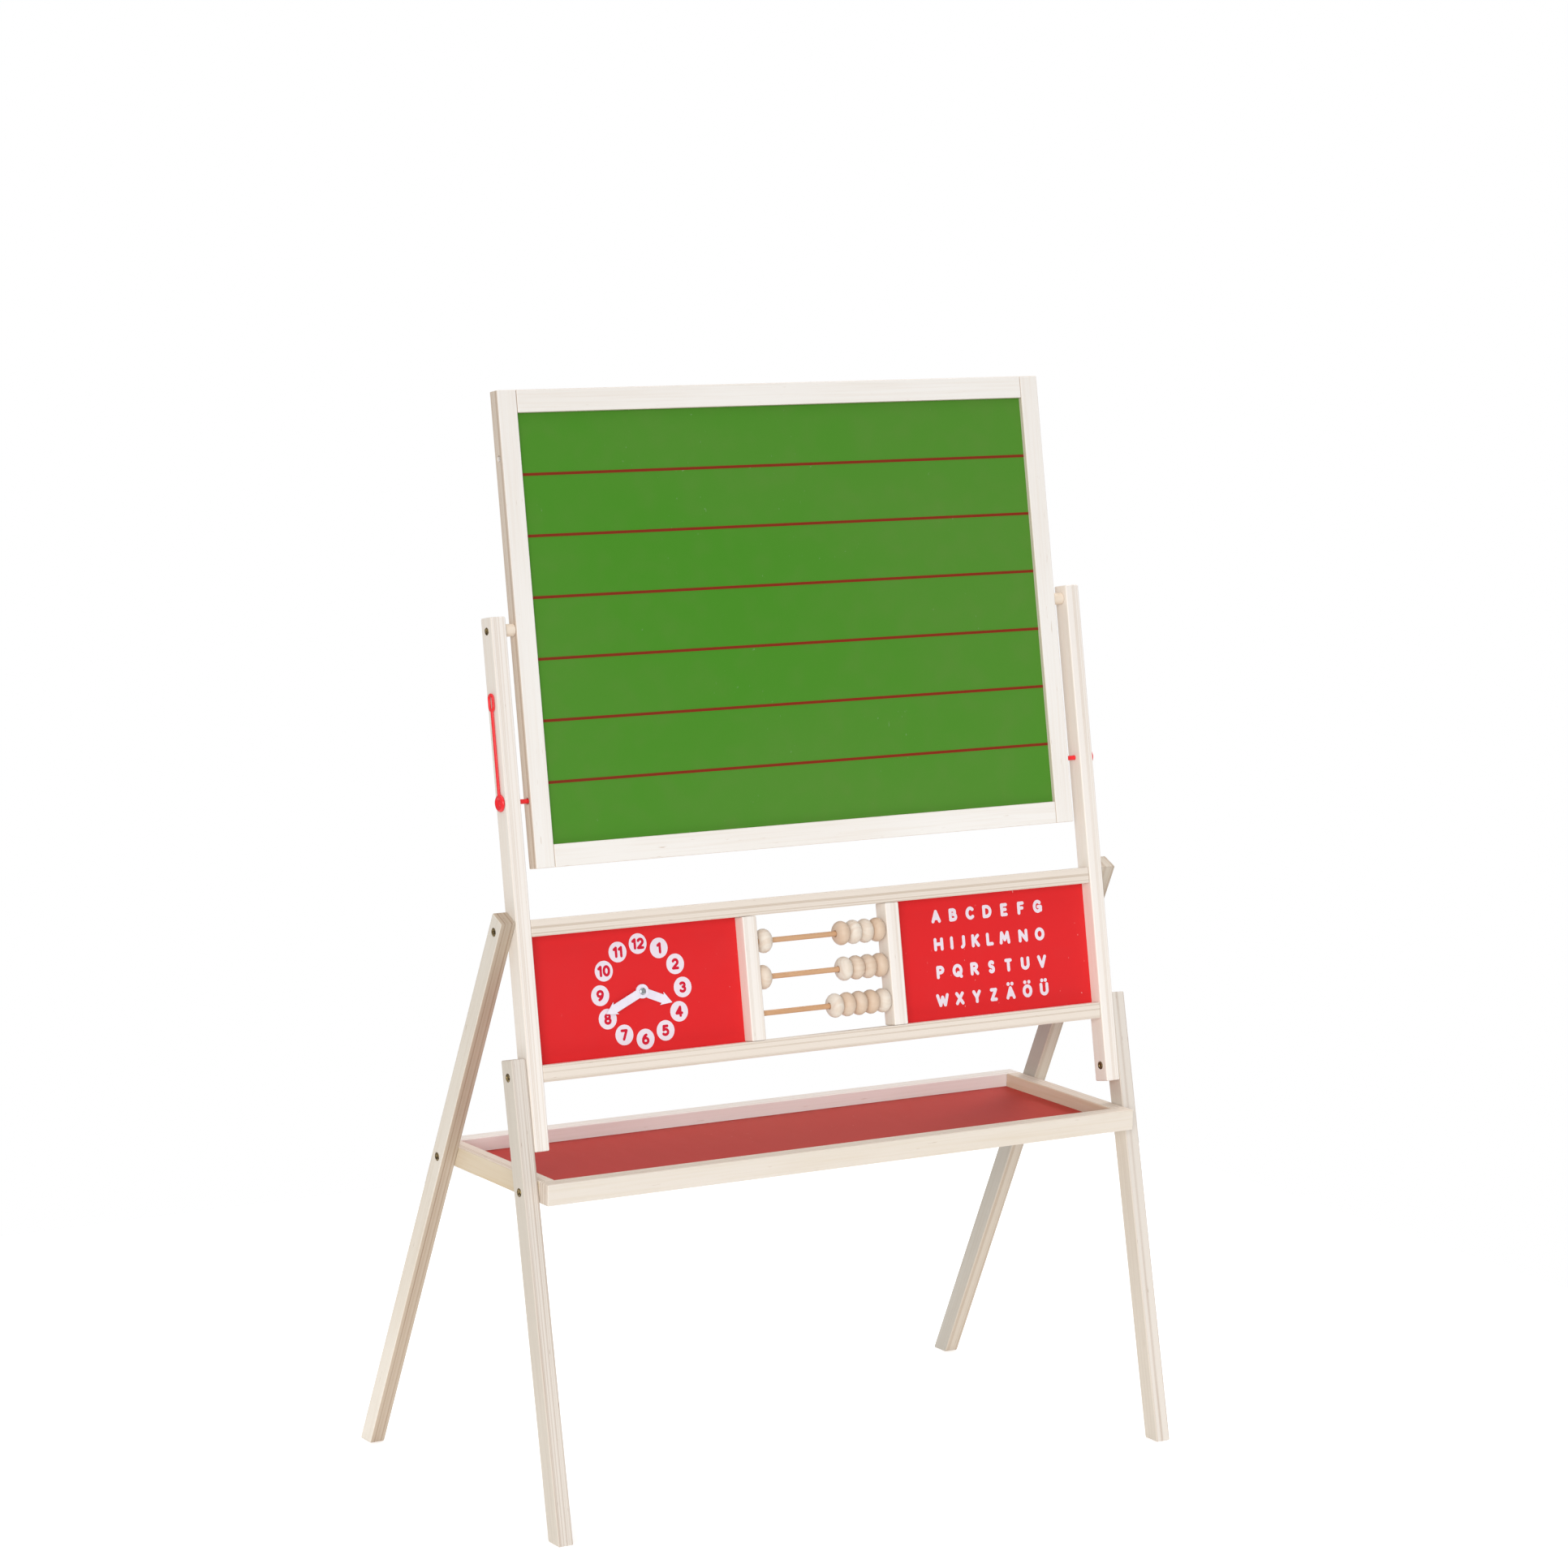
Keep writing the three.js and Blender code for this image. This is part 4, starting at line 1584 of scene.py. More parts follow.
@dataclass(frozen=True)
class SocketBolt:
    """A flat round-headed bolt with a hexagon socket, sunk in its member.

    Attributes:
        head: The head's radius.
        rim: The rounding of the head's rim.
        depth: The head's depth.
        shank: The shank's radius.
        socket: Half the socket's width across flats.
        socket_floor: The same at the socket's floor.
        socket_depth: How deep the socket is.
        chamfer: The bevel round its mouth.
        point: The bevel at the shank's end.
    """

    head: float = 0.0044
    rim: float = 0.0006
    depth: float = 0.0013
    shank: float = 0.0025
    socket: float = 0.0021
    socket_floor: float = 0.002058
    socket_depth: float = 0.0011
    chamfer: float = 0.0002
    point: float = 0.0004

    def build(self, shop: Workshop, node: str, outward: float) -> bpy.types.Object:
        """Makes the bolt that stands for a CAD node.

        Args:
            shop: What finishes it.
            node: The CAD node.
            outward: 1 where its head faces +X, or -1.

        Returns:
            The piece.
        """
        box = Box.of(node)
        length = box.size.x
        round_off = self.rim * 0.3
        rings = [
            Ring(-self.socket_depth, 0.0),
            Ring(-self.socket_depth, self.socket_floor, sides=6),
            Ring(-self.chamfer, self.socket, sides=6),
            Ring(0.0, self.socket + self.chamfer, sides=6),
            Ring(0.0, self.head - self.rim),
            Ring(-round_off, self.head - round_off),
            Ring(-self.rim, self.head),
            Ring(-self.depth, self.head),
            Ring(-self.depth, self.shank),
            Ring(self.point - length, self.shank),
            Ring(-length, self.shank - self.point),
            Ring(-length, 0.0),
        ]
        turn = Matrix.Rotation(0.0 if outward > 0 else math.pi, 4, "Z")
        end = box.high.x if outward > 0 else box.low.x
        place = Matrix.Translation((end, box.middle.y, box.middle.z))
        part = Part(f"{node}_metal", BOLT_METAL, "frame", "bolt_brass", (node,))
        return shop.add(part, turned(rings, segments=36), place @ turn)


# ------------------------------------------------------------------ sub-assemblies
@dataclass
class Legs:
    """The four legs and the bolts that go through them.

    Attributes:
        seat: The radius of the recess round a bolt's head.
        seat_depth: How deep that recess is.
        bolt: The bolts' sizes.
    """

    seat: float = 0.0049
    seat_depth: float = 0.0012
    bolt: SocketBolt = field(default_factory=SocketBolt)

    def build(self, shop: Workshop) -> None:
        """Makes the legs and their bolts.

        Args:
            shop: What finishes its pieces.
        """
        for side in Side:
            # the right rear leg wears a darker copy of the plywood as painted shade
            rear = REAR_PLY if side is Side.LEFT else SHADED_REAR_PLY
            for member, bolts, finish in (
                ("front_leg", ("leg_upper_bolt", "tray_front_bolt"), LEG_PLY),
                ("rear_leg", ("rear_leg_bolt", "tray_rear_bolt"), rear),
            ):
                node = f"{side.label}_{member}"
                names = [f"{side.label}_{bolt}" for bolt in bolts]
                bores = tuple(self._seat(node, name, side) for name in names)
                Stick(
                    node, Datum.along(node), Axis.Z, Axis.X, finish, bores=bores, on_floor=True
                ).build(shop)
                for name in names:
                    self.bolt.build(shop, name, side.value)
            self.bolt.build(shop, f"{side.label}_leg_lower_bolt", -side.value)

    def _seat(self, node: str, bolt: str, side: Side) -> Bore:
        """The recess in a leg's outer face for a bolt's head."""
        face = Box.of(node).high.x if side is Side.RIGHT else Box.of(node).low.x
        return Bore(Box.of(bolt).middle, face, face - side.value * self.seat_depth, self.seat)


@dataclass
class Uprights:
    """The two uprights, the pivots on them, and the lock pins through them.

    Attributes:
        datum: The frame that they lean along, with its origin on the board's pivot.
        bore: The radius of the holes for the pivot screws and the pins.
        seat: The radius of the recess round a screw's head.
        seat_depth: How deep that recess is.
        spacer: The pivot spacers' radius.
        spacer_bevel: The bevel at their ends.
        bolt: The screws' sizes.
    """

    datum: Datum
    bore: float = 0.003
    seat: float = 0.0049
    seat_depth: float = 0.0012
    spacer: float = 0.007
    spacer_bevel: float = 0.0004
    bolt: SocketBolt = field(default_factory=SocketBolt)

    def build(self, shop: Workshop) -> None:
        """Makes both sides.

        Args:
            shop: What finishes its pieces.
        """
        for side in Side:
            self._upright(shop, side)
            self._spacer(shop, side)
            self.bolt.build(shop, f"{side.label}_pivot_screw", side.value)
            LockPin(side, self.datum).build(shop)

    def _upright(self, shop: Workshop, side: Side) -> None:
        """Makes one upright.

        Args:
            shop: What finishes its pieces.
            side: Which side it is on.
        """
        node = f"{side.label}_upright"
        box = Box.of(node)
        inner, outer = (box.low.x, box.high.x) if side is Side.RIGHT else (box.high.x, box.low.x)
        screw = Box.of(f"{side.label}_pivot_screw").middle
        lower = Box.of(f"{side.label}_leg_lower_bolt").middle
        pin = LockPin(side, self.datum).axis()
        past = side.value * CLEAR
        bores = (
            Bore(screw, outer, outer - side.value * self.seat_depth, self.seat),
            Bore(screw, outer + past, inner - past, self.bore, 0.0),
            Bore(pin, outer, inner - past, self.bore),
            Bore(lower, inner, inner + side.value * self.seat_depth, self.seat),
        )
        Stick(node, self.datum, Axis.Z, Axis.X, UPRIGHT_PLY, bores=bores).build(shop)

    def _spacer(self, shop: Workshop, side: Side) -> None:
        """Makes the wooden spacer between the board and one upright.

        Args:
            shop: What finishes its pieces.
            side: Which side it is on.
        """
        node = f"{side.label}_pivot_spacer"
        box = Box.of(node)
        half = box.size.x / 2
        bevel = self.spacer_bevel
        rings = [
            Ring(-half, self.bore),
            Ring(-half, self.spacer - bevel),
            Ring(bevel - half, self.spacer),
            Ring(half - bevel, self.spacer),
            Ring(half, self.spacer - bevel),
            Ring(half, self.bore),
        ]
        part = Part(f"{node}_timber", SPACER_WOOD, "frame", "spacer_wood", (node,))
        shape = turned(rings, segments=36, hollow=True)
        shop.add(part, shape, Matrix.Translation(box.middle))


@dataclass
class LockPin:
    """A moulded pin with a dished head, and a flat arm that ends in a pull loop.

    Attributes:
        side: Which side it is on.
        datum: The uprights' frame.
        head: The head's radius.
        head_height: How far the head stands out.
        dish: The depth and radius of points on the head's face, from its middle to its rim.
        back: The radius of the head's back.
        plug: The plug's radius.
        tip: How far before the plug's end it narrows, and by how much.
        arm: The arm's width.
        arm_depth: The arm's thickness.
        loop: The loop's width and height over all.
        band: The width of the loop's band.
        lap: How far the arm runs into the head and the loop, as a share of the head's radius
            and of the band's width.
    """

    side: Side
    datum: Datum
    head: float = 0.0097
    head_height: float = 0.0035
    dish: tuple[tuple[float, float], ...] = (
        (0.0006, 0.0),
        (0.0007, 0.0012),
        (0.0013, 0.0022),
        (0.0019, 0.0032),
        (0.0017, 0.0045),
        (0.0005, 0.0058),
        (0.0, 0.0068),
        (0.0004, 0.008),
        (0.0013, 0.0091),
        (0.0024, 0.0097),
    )
    back: float = 0.0094
    plug: float = 0.0027
    tip: tuple[tuple[float, float], ...] = ((0.0012, 0.0), (0.0003, 0.0006), (0.0, 0.0012))
    arm: float = 0.0042
    arm_depth: float = 0.003
    loop: tuple[float, float] = (0.012, 0.021)
    band: float = 0.0034
    lap: tuple[float, float] = (0.8, 0.6)

    @property
    def node(self) -> str:
        """Its CAD node, which is also its body."""
        return f"{self.side.label}_lock_pin"

    def _box(self) -> Box:
        """Its box in the uprights' frame."""
        return self.datum.box(self.node)

    def axis(self) -> Vector:
        """A point on the plug's axis, in the easel's frame."""
        box = self._box()
        return self.datum.matrix @ Vector((box.middle.x, box.middle.y, box.low.z + self.head))

    def build(self, shop: Workshop) -> None:
        """Makes the pin.

        Args:
            shop: What finishes its pieces.
        """
        box = self._box()
        reach = box.size.x
        top = box.size.z - self.head
        shapes = self._head(reach).joined(self._arm(top), self._loop(top))
        flip = Matrix.Rotation(0.0 if self.side is Side.RIGHT else math.pi, 4, "Z")
        outer = box.high.x if self.side is Side.RIGHT else box.low.x
        place = Matrix.Translation((outer, box.middle.y, box.low.z + self.head))
        part = Part(f"{self.node}_plastic", PIN_PLASTIC, self.node, "pin_red", (self.node,))
        shop.add(part, shapes, self.datum.matrix @ place @ flip)

    def _head(self, reach: float) -> Shape:
        """The dished head and the plug, whose outer end is at x = 0.

        Args:
            reach: The whole pin's length along X.

        Returns:
            The shape.
        """
        rings = [
            *(Ring(-depth, radius) for depth, radius in self.dish),
            Ring(-self.head_height, self.back),
            Ring(-self.head_height, self.plug),
            *(Ring(before - reach, self.plug - narrower) for before, narrower in self.tip),
            Ring(-reach, 0.0),
        ]
        return turned(rings, segments=40)

    def _arm(self, top: float) -> Shape:
        """The arm, from the head to the loop.

        Args:
            top: From the head's middle to the loop's far end.

        Returns:
            The shape.
        """
        middle = self.arm_depth / 2 - self.head_height
        start = self.head * self.lap[0]
        end = top - self.loop[1] + self.band * self.lap[1]
        steps = 10
        path = [
            Vector((middle, 0.0, start + (end - start) * i / steps)) for i in range(steps + 1)
        ]
        return swept(path, self.arm / 2, self.arm_depth / 2, closed=False, sides=16)

    def _loop(self, top: float) -> Shape:
        """The loop at the arm's end.

        Args:
            top: From the head's middle to the loop's far end.

        Returns:
            The shape.
        """
        middle = self.arm_depth / 2 - self.head_height
        half_wide = (self.loop[0] - self.band) / 2
        half_high = (self.loop[1] - self.band) / 2 - half_wide
        centre = top - self.loop[1] / 2
        path = [
            Vector((middle, y, centre + z + shift))
            for shift, start in ((half_high, 0.0), (-half_high, math.pi))
            for y, z in circle(half_wide, 12, start, start + math.pi)
        ]
        return swept(path, self.band / 2, self.arm_depth / 2, closed=True)


@dataclass
class TurningBoard:
    """The two-sided board that turns between the uprights.

    Attributes:
        datum: The uprights' frame.
        easing: The radius of the frame's edges.
        skin_easing: The bevel of the panels' edges.
        hole: The radius of the holes for the lock pins.
        hole_depth: How deep they are.
        screw: The radius of the holes for the pivot screws.
        screw_depth: How deep they are.
        rules: How many lines are ruled across the chalk side.
        rule_height: How thick they are.
        tuck: How far they run under the frame, both ends together.
    """

    datum: Datum
    easing: float = 0.0011
    skin_easing: float = 0.0003
    hole: float = 0.0038
    hole_depth: float = 0.013
    screw: float = 0.003
    screw_depth: float = 0.017
    rules: int = 6
    rule_height: float = 0.0032
    tuck: float = 0.004

    def build(self, shop: Workshop) -> None:
        """Makes the board.

        Args:
            shop: What finishes its pieces.
        """
        for side in Side:
            node = f"board_{side.label}_stile"
            self._member(node, Axis.Z, self._bores(node, side)).build(shop)
        for end in ("bottom", "top"):
            self._member(f"board_{end}_rail", Axis.X, ()).build(shop)
        self._panel(shop, "chalk_panel", CHALK_GREEN, "chalk_green")
        self._panel(shop, "marker_panel", MARKER_WHITE, "marker_white")
        self._rules(shop)

    def _member(self, node: str, grain: Axis, bores: tuple[Bore, ...]) -> Stick:
        """One member of the board's frame.

        Args:
            node: Its CAD node.
            grain: The axis along its grain.
            bores: The holes in it.

        Returns:
            The member.
        """
        return Stick(
            node, self.datum, grain, Axis.Y, BOARD_PLY, "board_wood", "board", self.easing, bores
        )

    def _bores(self, node: str, side: Side) -> tuple[Bore, ...]:
        """The holes in a stile: one for the pivot screw, and one for the lock pin either way up.

        Args:
            node: The stile's CAD node.
            side: Which side it is on.

        Returns:
            The holes.
        """
        box = Box.of(node)
        face = box.high.x if side is Side.RIGHT else box.low.x
        pivot = self.datum.origin
        low = LockPin(side, self.datum).axis()
        high = pivot * 2 - low
        deep, short = (face - side.value * d for d in (self.screw_depth, self.hole_depth))
        return (
            Bore(pivot, face, deep, self.screw),
            Bore(low, face, short, self.hole),
            Bore(high, face, short, self.hole),
        )

    def _panel(self, shop: Workshop, node: str, finish: Finish, slot: str) -> None:
        """Makes one skin of the board.

        Args:
            shop: What finishes its pieces.
            node: Its CAD node.
            finish: Its finish.
            slot: The record's material slot.
        """
        box = self.datum.box(node)
        part = Part(f"{node}_skin", finish, "board", slot, (node,))
        matrix = self.datum.matrix @ Matrix.Translation(box.middle)
        shop.add(part, block(box.size).eased(self.skin_easing, segments=1), matrix)

    def _rules(self, shop: Workshop) -> None:
        """Makes the ruled lines, which divide the chalk side into equal bands.

        Args:
            shop: What finishes its pieces.
        """
        low = self.datum.box("board_bottom_rail").high.z
        high = self.datum.box("board_top_rail").low.z
        left = self.datum.box("board_left_stile").high.x
        right = self.datum.box("board_right_stile").low.x
        front = self.datum.box("chalk_panel").low.y
        band = (high - low) / (self.rules + 1)
        lines = Shape()
        for i in range(self.rules):
            strip = block((right - left + self.tuck, PRINT, self.rule_height))
            at = Matrix.Translation(((left + right) / 2, 0.0, low + band * (i + 1)))
            lines.joined(strip.moved(at))
        part = Part("ruled_lines", RULED_RED, "board")
        shop.add(part, lines, self.datum.matrix @ Matrix.Translation((0.0, front - PRINT / 2, 0.0)))


@dataclass
class LowerFrame:
    """The frame between the uprights, with its two printed panels.

    Attributes:
        datum: The uprights' frame.
        easing: The radius of its members' edges.
        panel_easing: The bevel of the panels' edges.
    """

    datum: Datum
    easing: float = 0.0014
    panel_easing: float = 0.0004

    def build(self, shop: Workshop) -> None:
        """Makes the frame and the panels in it.

        Args:
            shop: What finishes its pieces.
        """
        for node in ("mid_bottom_rail", "mid_top_rail"):
            Stick(node, self.datum, Axis.X, Axis.Z, FRAME_PLY, easing=self.easing).build(shop)
        for side in Side:
            node = f"{side.label}_divider"
            Stick(node, self.datum, Axis.Z, Axis.X, UPRIGHT_PLY, easing=self.easing).build(shop)
        for node in ("clock_panel", "alphabet_panel"):
            box = self.datum.box(node)
            part = Part(f"{node}_board", SIGN_RED, "frame", "sign_red", (node,))
            matrix = self.datum.matrix @ Matrix.Translation(box.middle)
            shop.add(part, block(box.size).eased(self.panel_easing, segments=1), matrix)


@dataclass
class Alphabet:
    """The letters on the right-hand panel.

    Attributes:
        datum: The uprights' frame.
        row_pitch: From one row to the next.
        column_pitch: From one letter to the next.
        rows: Each row's letters, from the top.
        close_row: The middles of the letters in the fuller second row, from the block's middle.
        shift: The block's middle from the panel's middle.
        style: The letters' size and weight.
    """

    datum: Datum
    row_pitch: float = 0.0325
    column_pitch: float = 0.02405
    rows: tuple[str, ...] = ("ABCDEFG", "HIJKLMNO", "PQRSTUV", "WXYZÄÖÜ")
    close_row: tuple[float, ...] = (
        -0.0715,
        -0.053,
        -0.0376,
        -0.0194,
        0.0008,
        0.022,
        0.0483,
        0.0721,
    )
    shift: float = -0.003
    style: Lettering = Lettering(0.0153, 0.004)

    def build(self, shop: Workshop) -> None:
        """Makes the letters as one piece of print.

        Args:
            shop: What finishes its pieces.
        """
        left = self.datum.box("right_divider").high.x
        right = self.datum.box("right_upright").low.x
        low = self.datum.box("mid_bottom_rail").high.z
        high = self.datum.box("mid_top_rail").low.z
        front = self.datum.box("alphabet_panel").low.y
        letters = Shape()
        for i, row in enumerate(self.rows):
            z = ((len(self.rows) - 1) / 2 - i) * self.row_pitch
            places = [(k - (len(row) - 1) / 2) * self.column_pitch for k in range(len(row))]
            if len(row) == len(self.close_row):
                places = self.close_row
            for x, letter in zip(places, row):
                letters.joined(self.style.write(letter, x, z))
        middle = Vector(((left + right) / 2 + self.shift, front, (low + high) / 2))
        matrix = self.datum.matrix @ Matrix.Translation(middle)
        shop.add(Part("alphabet_print", SIGN_WHITE), letters, matrix)


@dataclass
class ToyClock:
    """The clock on the left-hand panel.

    Attributes:
        datum: The uprights' frame.
        ring: From the hands' axis to the middle of each number.
        disc: The radius of the disc behind a number.
        style: The numbers' size and weight.
        hub: The radius of a hand's round end.
        bore: The radius of the hole in it.
        bar: A hand's width.
        head: The width of its arrowhead.
        barb: How far the arrowhead's barbs sweep back.
        neck: How far the arrowhead starts before the tip.
        easing: The radius of a hand's edges.
        rivet: The radius of the rivet's domed head.
        rivet_height: How high its dome is.
        shank: The radius of its shank.
        washer: The radius of its flat back.
        washer_depth: How thick that back is.
        washer_bevel: The height and width of the bevel round it.
    """

    datum: Datum
    ring: float = 0.0534
    disc: float = 0.0115
    style: Lettering = Lettering(0.0127, 0.0031, 1.2)
    hub: float = 0.008
    bore: float = 0.0024
    bar: float = 0.0098
    head: float = 0.0154
    barb: float = 0.0015
    neck: float = 0.0128
    easing: float = 0.00025
    rivet: float = 0.004
    rivet_height: float = 0.0016
    shank: float = 0.002
    washer: float = 0.005
    washer_depth: float = 0.001
    washer_bevel: tuple[float, float] = (0.0003, 0.0004)

    def _axis(self, hand: str) -> Vector:
        """Where a hand turns, in the uprights' frame."""
        joint = next(j for j in frame["joints"] if j["child"] == hand)
        return self.datum.matrix.inverted() @ Vector(joint["pos_m"])

    def build(self, shop: Workshop) -> None:
        """Makes the numbers, the hands and the rivet.

        Args:
            shop: What finishes its pieces.
        """
        front = self.datum.box("clock_panel").low.y
        axis = self._axis("hour_hand")
        centre = Vector((axis.x, front, axis.z))
        discs, numbers = Shape(), Shape()
        for hour in range(1, 13):
            angle = math.pi / 2 - hour * math.pi / 6
            x, z = self.ring * math.cos(angle), self.ring * math.sin(angle)
            disc = plate(circle(self.disc, count=48), PRINT)
            discs.joined(disc.moved(Matrix.Translation((x, -PRINT, z))))
            numbers.joined(self.style.write(str(hour), x, z))
        matrix = self.datum.matrix @ Matrix.Translation(centre)
        shop.add(Part("number_discs", SIGN_WHITE), discs, matrix)
        lift = Matrix.Translation((0.0, -PRINT, 0.0))
        shop.add(Part("number_print", NUMBER_RED), numbers, matrix @ lift)
        for hand in ("hour_hand", "minute_hand"):
            self._hand(shop, hand)
        self._rivet(shop)

    def _tip(self, hand: str, axis: Vector) -> Vector:
        """How far and which way a hand points, from its axis, in its own plane.

        Args:
            hand: The hand's CAD node.
            axis: Where it turns.

        Returns:
            The way to its tip.
        """
        inverse = self.datum.matrix.inverted()
        places = [inverse @ vertex.co - axis for vertex in frame["nodes"][hand].data.vertices]
        return max((Vector((p.x, 0.0, p.z)) for p in places), key=lambda p: p.length)

    def _hand(self, shop: Workshop, hand: str) -> None:
        """Makes one hand, an arrow along X before it is turned.

        Args:
            shop: What finishes its pieces.
            hand: The hand's CAD node.
        """
        axis = self._axis(hand)
        tip = self._tip(hand, axis)
        box = self.datum.box(hand)
        half = self.bar / 2
        start = math.asin(half / self.hub)
        neck = tip.length - self.neck
        outline = circle(self.hub, 40, start, 2 * math.pi - start)
        outline += [
            (neck, -half),
            (neck - self.barb, -self.head / 2),
            (tip.length, 0.0),
            (neck - self.barb, self.head / 2),
            (neck, half),
        ]
        shape = plate(outline, box.size.y).eased(self.easing, segments=2)
        through = 10 * CLEAR
        hole = turned([Ring(-through, self.bore), Ring(through, self.bore)], segments=32)
        shape = shape.carved(hole.moved(Matrix.Rotation(math.pi / 2, 4, "Z")))
        turn = Matrix.Rotation(-math.atan2(tip.z, tip.x), 4, "Y")
        place = Matrix.Translation((axis.x, box.low.y, axis.z))
        part = Part(f"{hand}_plastic", HAND_PLASTIC, hand, "hand_white", (hand,))
        shop.add(part, shape, self.datum.matrix @ place @ turn)

    def _rivet(self, shop: Workshop) -> None:
        """Makes the rivet that holds the hands.

        Args:
            shop: What finishes its pieces.
        """
        node = "clock_rivet"
        box = self.datum.box(node)
        back = box.size.y
        steps = 8
        dome = [
            Ring(self.rivet_height * (1 - math.cos(a)), self.rivet * math.sin(a))
            for a in (math.pi / 2 * i / steps for i in range(steps + 1))
        ]
        height, width = self.washer_bevel
        rings = [
            *dome,
            Ring(self.rivet_height, self.shank),
            Ring(back - self.washer_depth, self.shank),
            Ring(back - self.washer_depth, self.washer),
            Ring(back - height, self.washer),
            Ring(back, self.washer - width),
            Ring(back, 0.0),
        ]
        turn = Matrix.Rotation(math.pi / 2, 4, "Z")
        place = Matrix.Translation((box.middle.x, box.low.y, box.middle.z))
        part = Part("clock_rivet_metal", RIVET_METAL, "frame", "rivet_steel", (node,))
        shop.add(part, turned(rings, segments=40), self.datum.matrix @ place @ turn)


@dataclass
class CountingFrame:
    """Three rods with five beads on each.

    Attributes:
        datum: The uprights' frame.
        rod: The rods' radius.
        bead: The beads' radius.
        bore: The radius of the hole through them.
        rounding: How far their sides bulge out.
        mouth: The depth and width of the bevel at the hole's ends.
        rows: The rods' names, from the top.
        count: How many beads a rod has.
    """

    datum: Datum
    rod: float = 0.0031
    bead: float = 0.014
    bore: float = 0.0036
    rounding: float = 0.0088
    mouth: tuple[float, float] = (0.0004, 0.0005)
    rows: tuple[str, ...] = ("top", "mid", "low")
    count: int = 5

    def build(self, shop: Workshop) -> None:
        """Makes the rods and the beads.

        Args:
            shop: What finishes its pieces.
        """
        for row in self.rows:
            node = f"{row}_rod"
            box = Box.of(node)
            half = box.size.x / 2
            rings = [Ring(-half, self.rod), Ring(half, self.rod)]
            part = Part(f"{node}_timber", ROD_WOOD, "frame", "rod_wood", (node,))
            shop.add(part, turned(rings, segments=32), Matrix.Translation(box.middle))
            for i in range(self.count):
                self._bead(shop, f"{row}_bead_{i + 1}")

    def _bead(self, shop: Workshop, node: str) -> None:
        """Makes one bead, turned a little so that no two show the same grain.

        Args:
            shop: What finishes its pieces.
            node: The bead's CAD node.
        """
        box = Box.of(node)
        half = box.size.x / 2
        steps = 9
        deep, wide = self.mouth
        rings = [Ring(-half + deep, self.bore), Ring(-half, self.bore + wide)]
        for i in range(steps + 1):
            angle = math.pi * i / steps
            out = self.bead - self.rounding + self.rounding * math.sin(angle)
            rings.append(Ring(-half * math.cos(angle), out))
        rings += [Ring(half, self.bore + wide), Ring(half - deep, self.bore)]
        spin = Matrix.Rotation(shop.random.uniform(0.0, 2 * math.pi), 4, "X")
        part = Part(f"{node}_timber", BEAD_WOOD, node, "bead_wood", (node,))
        shape = turned(rings, segments=40, hollow=True)
        shop.add(part, shape, Matrix.Translation(box.middle) @ spin)


@dataclass
class Tray:
    """The tray between the legs.

    Attributes:
        easing: The radius of its rails' edges.
        floor_easing: The bevel of its floor's edges.
        datum: The level frame that it lies in.
    """

    easing: float = 0.0013
    floor_easing: float = 0.0004
    datum: Datum = Datum(Vector((0.0, 0.0, 0.0)), 0.0)

    def build(self, shop: Workshop) -> None:
        """Makes the rails and the floor.

        Args:
            shop: What finishes its pieces.
        """
        # the back rail wears a paler copy of the tray's plywood as painted light
        for end, finish in (("front", TRAY_PLY), ("back", LIT_TRAY_BACK_PLY)):
            node = f"tray_{end}_rail"
            Stick(node, self.datum, Axis.X, Axis.Y, finish, easing=self.easing).build(shop)
        for side in Side:
            node = f"tray_{side.label}_rail"
            Stick(node, self.datum, Axis.Y, Axis.X, TRAY_SIDE_PLY, easing=self.easing).build(shop)
        box = Box.of("tray_floor")
        part = Part("tray_floor_board", TRAY_RED, "frame", "tray_red", ("tray_floor",))
        floor = block(box.size).eased(self.floor_easing, segments=1)
        shop.add(part, floor, Matrix.Translation(box.middle))
        self._underside(shop, box.low.z)

    def _underside(self, shop: Workshop, level: float) -> None:
        """Makes the unpainted skin under the floor, between the rails.

        Args:
            shop: What finishes its pieces.
            level: The height of the floor's underside.
        """
        left, right = Box.of("tray_left_rail").high.x, Box.of("tray_right_rail").low.x
        front, back = Box.of("tray_front_rail").high.y, Box.of("tray_back_rail").low.y
        skin = block((right - left, back - front, PRINT))
        middle = Vector(((left + right) / 2, (front + back) / 2, level - PRINT / 2))
        shop.add(Part("tray_floor_back", RAW_BOARD), skin, Matrix.Translation(middle))


# ------------------------------------------------------------------ studio
@dataclass(frozen=True)
class Light:
    """One broad, far light.

    Attributes:
        name: Its name.
        source: The direction that it comes from.
        strength: How strong it is.
        width: How wide it looks, in radians.
    """

    name: str
    source: tuple[float, float, float]
    strength: float
    width: float

    def build(self) -> None:
        """Makes the light."""
        lamp = bpy.data.lights.new(self.name, "SUN")
        lamp.angle = self.width
        lamp.energy = self.strength
        thing = bpy.data.objects.new(self.name, lamp)
        thing.rotation_euler = (-Vector(self.source)).to_track_quat("-Z", "Y").to_euler()
        bpy.context.scene.collection.objects.link(thing)


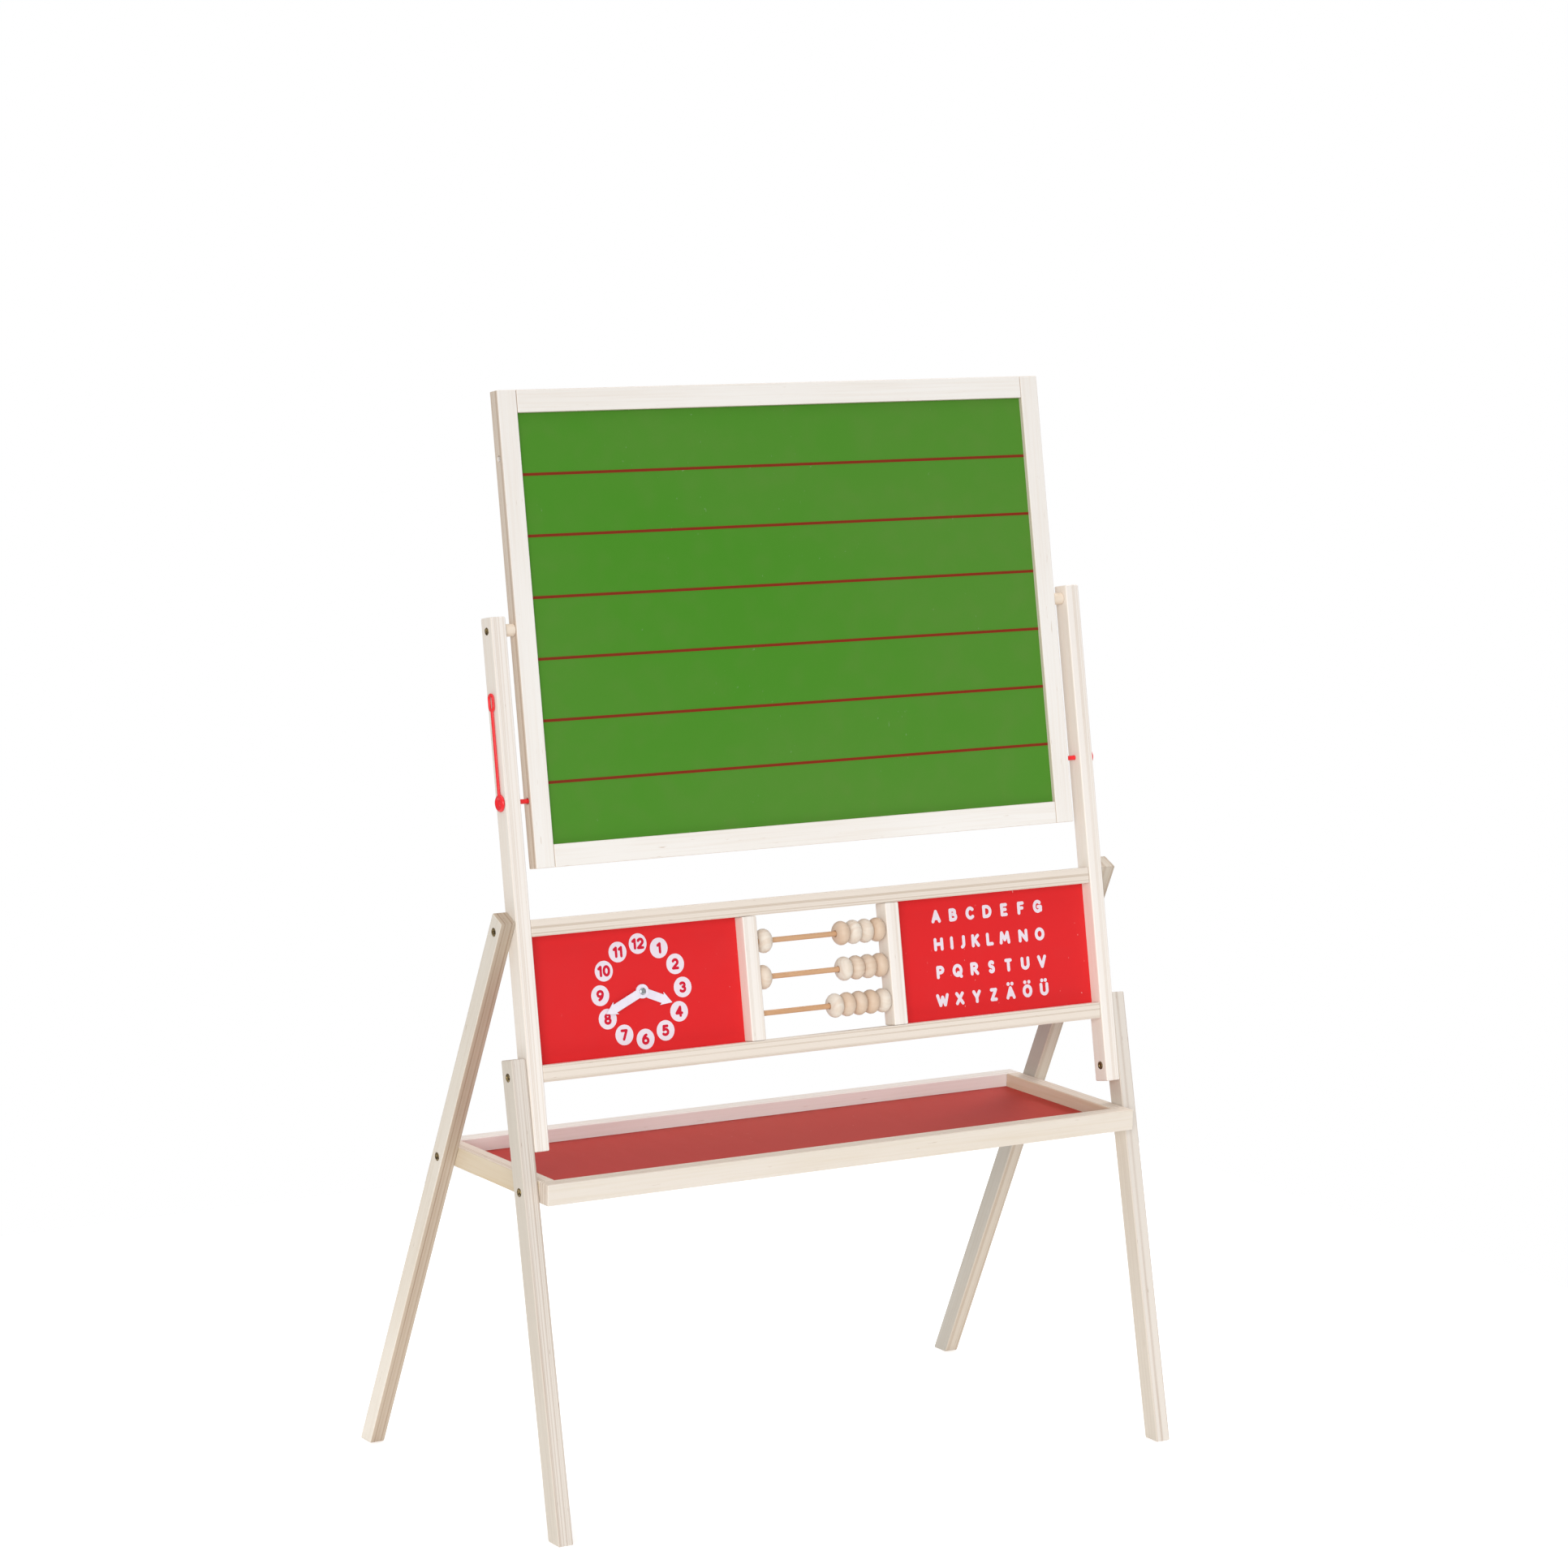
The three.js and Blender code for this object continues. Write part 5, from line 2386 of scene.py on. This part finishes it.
@dataclass
class Studio:
    """The floor, the lights and the camera.

    Attributes:
        floor_size: The floor's width.
        eye: Where the camera is.
        yaw: Its heading, from +Y towards +X, in radians.
        pitch: Its rise above the level, in radians.
        roll: Its turn about its own line of sight, in radians.
        focal: Its focal length, in millimetres.
        sensor: Its sensor's width, in millimetres.
        reach: How far it sees.
        ambient: How bright the surround is as a light.
        glow: How much light the floor itself gives off.
        paper: The floor's colour.
        mottle: The floor's other colour.
        key: The light from the front.
        top: The light from above.
        back: The light from the right and behind.
    """

    floor_size: float = 2.6
    eye: Vector = Vector((-2.88643, -4.54117, 1.62381))
    yaw: float = 0.5673
    pitch: float = -0.1555
    roll: float = 0.0184
    focal: float = 108.616
    sensor: float = 36.0
    reach: float = 200.0
    ambient: float = 0.44
    glow: float = 0.54
    paper: Colour = (0.63, 0.63, 0.63)
    mottle: Colour = (0.61, 0.61, 0.61)
    key: Light = Light("key_light", (-0.55, -0.78, 0.24), 1.85, 0.7)
    top: Light = Light("top_light", (-0.1, 0.05, 1.0), 1.15, 1.3)
    back: Light = Light("back_light", (0.9, 0.35, 0.75), 1.3, 0.4)

    def build(self) -> None:
        """Makes the whole studio."""
        self._floor()
        self._world()
        for light in (self.key, self.top, self.back):
            light.build()
        self._camera()
        view = bpy.context.scene.view_settings
        view.view_transform = "Standard"
        view.look = "None"

    def _floor(self) -> None:
        """Makes the pale floor."""
        shape = Shape()
        bmesh.ops.create_grid(shape.mesh, x_segments=8, y_segments=8, size=self.floor_size / 2)
        data = shape.baked("studio_floor")
        graph = Graph.of("floor_paper")
        place = graph.node("ShaderNodeTexCoord")["Object"]
        tone = graph.noise(place * MOTTLE, 2)
        base = graph.mix(tone, self.paper, self.mottle)
        glow = {"Emission_Color": (1.0, 1.0, 1.0), "Emission_Strength": self.glow}
        data.materials.append(graph.coat(base, 0.9, **glow))
        floor = bpy.data.objects.new("studio_floor", data)
        bpy.context.scene.collection.objects.link(floor)

    def _world(self) -> None:
        """Makes the even surround, which is white behind the easel and dimmer as a light."""
        world = bpy.data.worlds.new("white_room")
        bpy.context.scene.world = world
        graph = Graph(world)
        seen = graph.node("ShaderNodeLightPath")["Is Camera Ray"]
        strength = self.ambient + seen * (1.0 - self.ambient)
        inputs = {"Color": (1.0, 1.0, 1.0), "Strength": strength}
        surface = graph.node("ShaderNodeBackground", {}, inputs)["Background"]
        graph.node("ShaderNodeOutputWorld", {}, {"Surface": surface})

    def _camera(self) -> None:
        """Makes the camera."""
        ahead = Vector(
            (
                math.sin(self.yaw) * math.cos(self.pitch),
                math.cos(self.yaw) * math.cos(self.pitch),
                math.sin(self.pitch),
            )
        )
        level = Vector((math.cos(self.yaw), -math.sin(self.yaw), 0.0))
        upright = level.cross(ahead)
        right = level * math.cos(self.roll) + upright * math.sin(self.roll)
        up = upright * math.cos(self.roll) - level * math.sin(self.roll)
        lens = bpy.data.cameras.new("camera")
        lens.sensor_width = self.sensor
        lens.lens = self.focal
        lens.clip_end = self.reach
        camera = bpy.data.objects.new("camera", lens)
        turn = Matrix((right, up, -ahead)).transposed().to_4x4()
        camera.matrix_world = Matrix.Translation(self.eye) @ turn
        bpy.context.scene.collection.objects.link(camera)
        bpy.context.scene.camera = camera


def main() -> None:
    """Builds the studio and every sub-assembly in order."""
    logging.basicConfig(level=logging.INFO, format="%(name)s: %(message)s")
    Studio().build()
    pivot = next(joint for joint in frame["joints"] if joint["child"] == "board")
    leaning = Datum(Vector(pivot["pos_m"]), lean_of("left_upright"))
    shop = Workshop(SEED)
    for assembly in (
        Legs(),
        Uprights(leaning),
        TurningBoard(leaning),
        LowerFrame(leaning),
        ToyClock(leaning),
        CountingFrame(leaning),
        Alphabet(leaning),
        Tray(),
    ):
        assembly.build(shop)


if __name__ == "__main__":
    main()
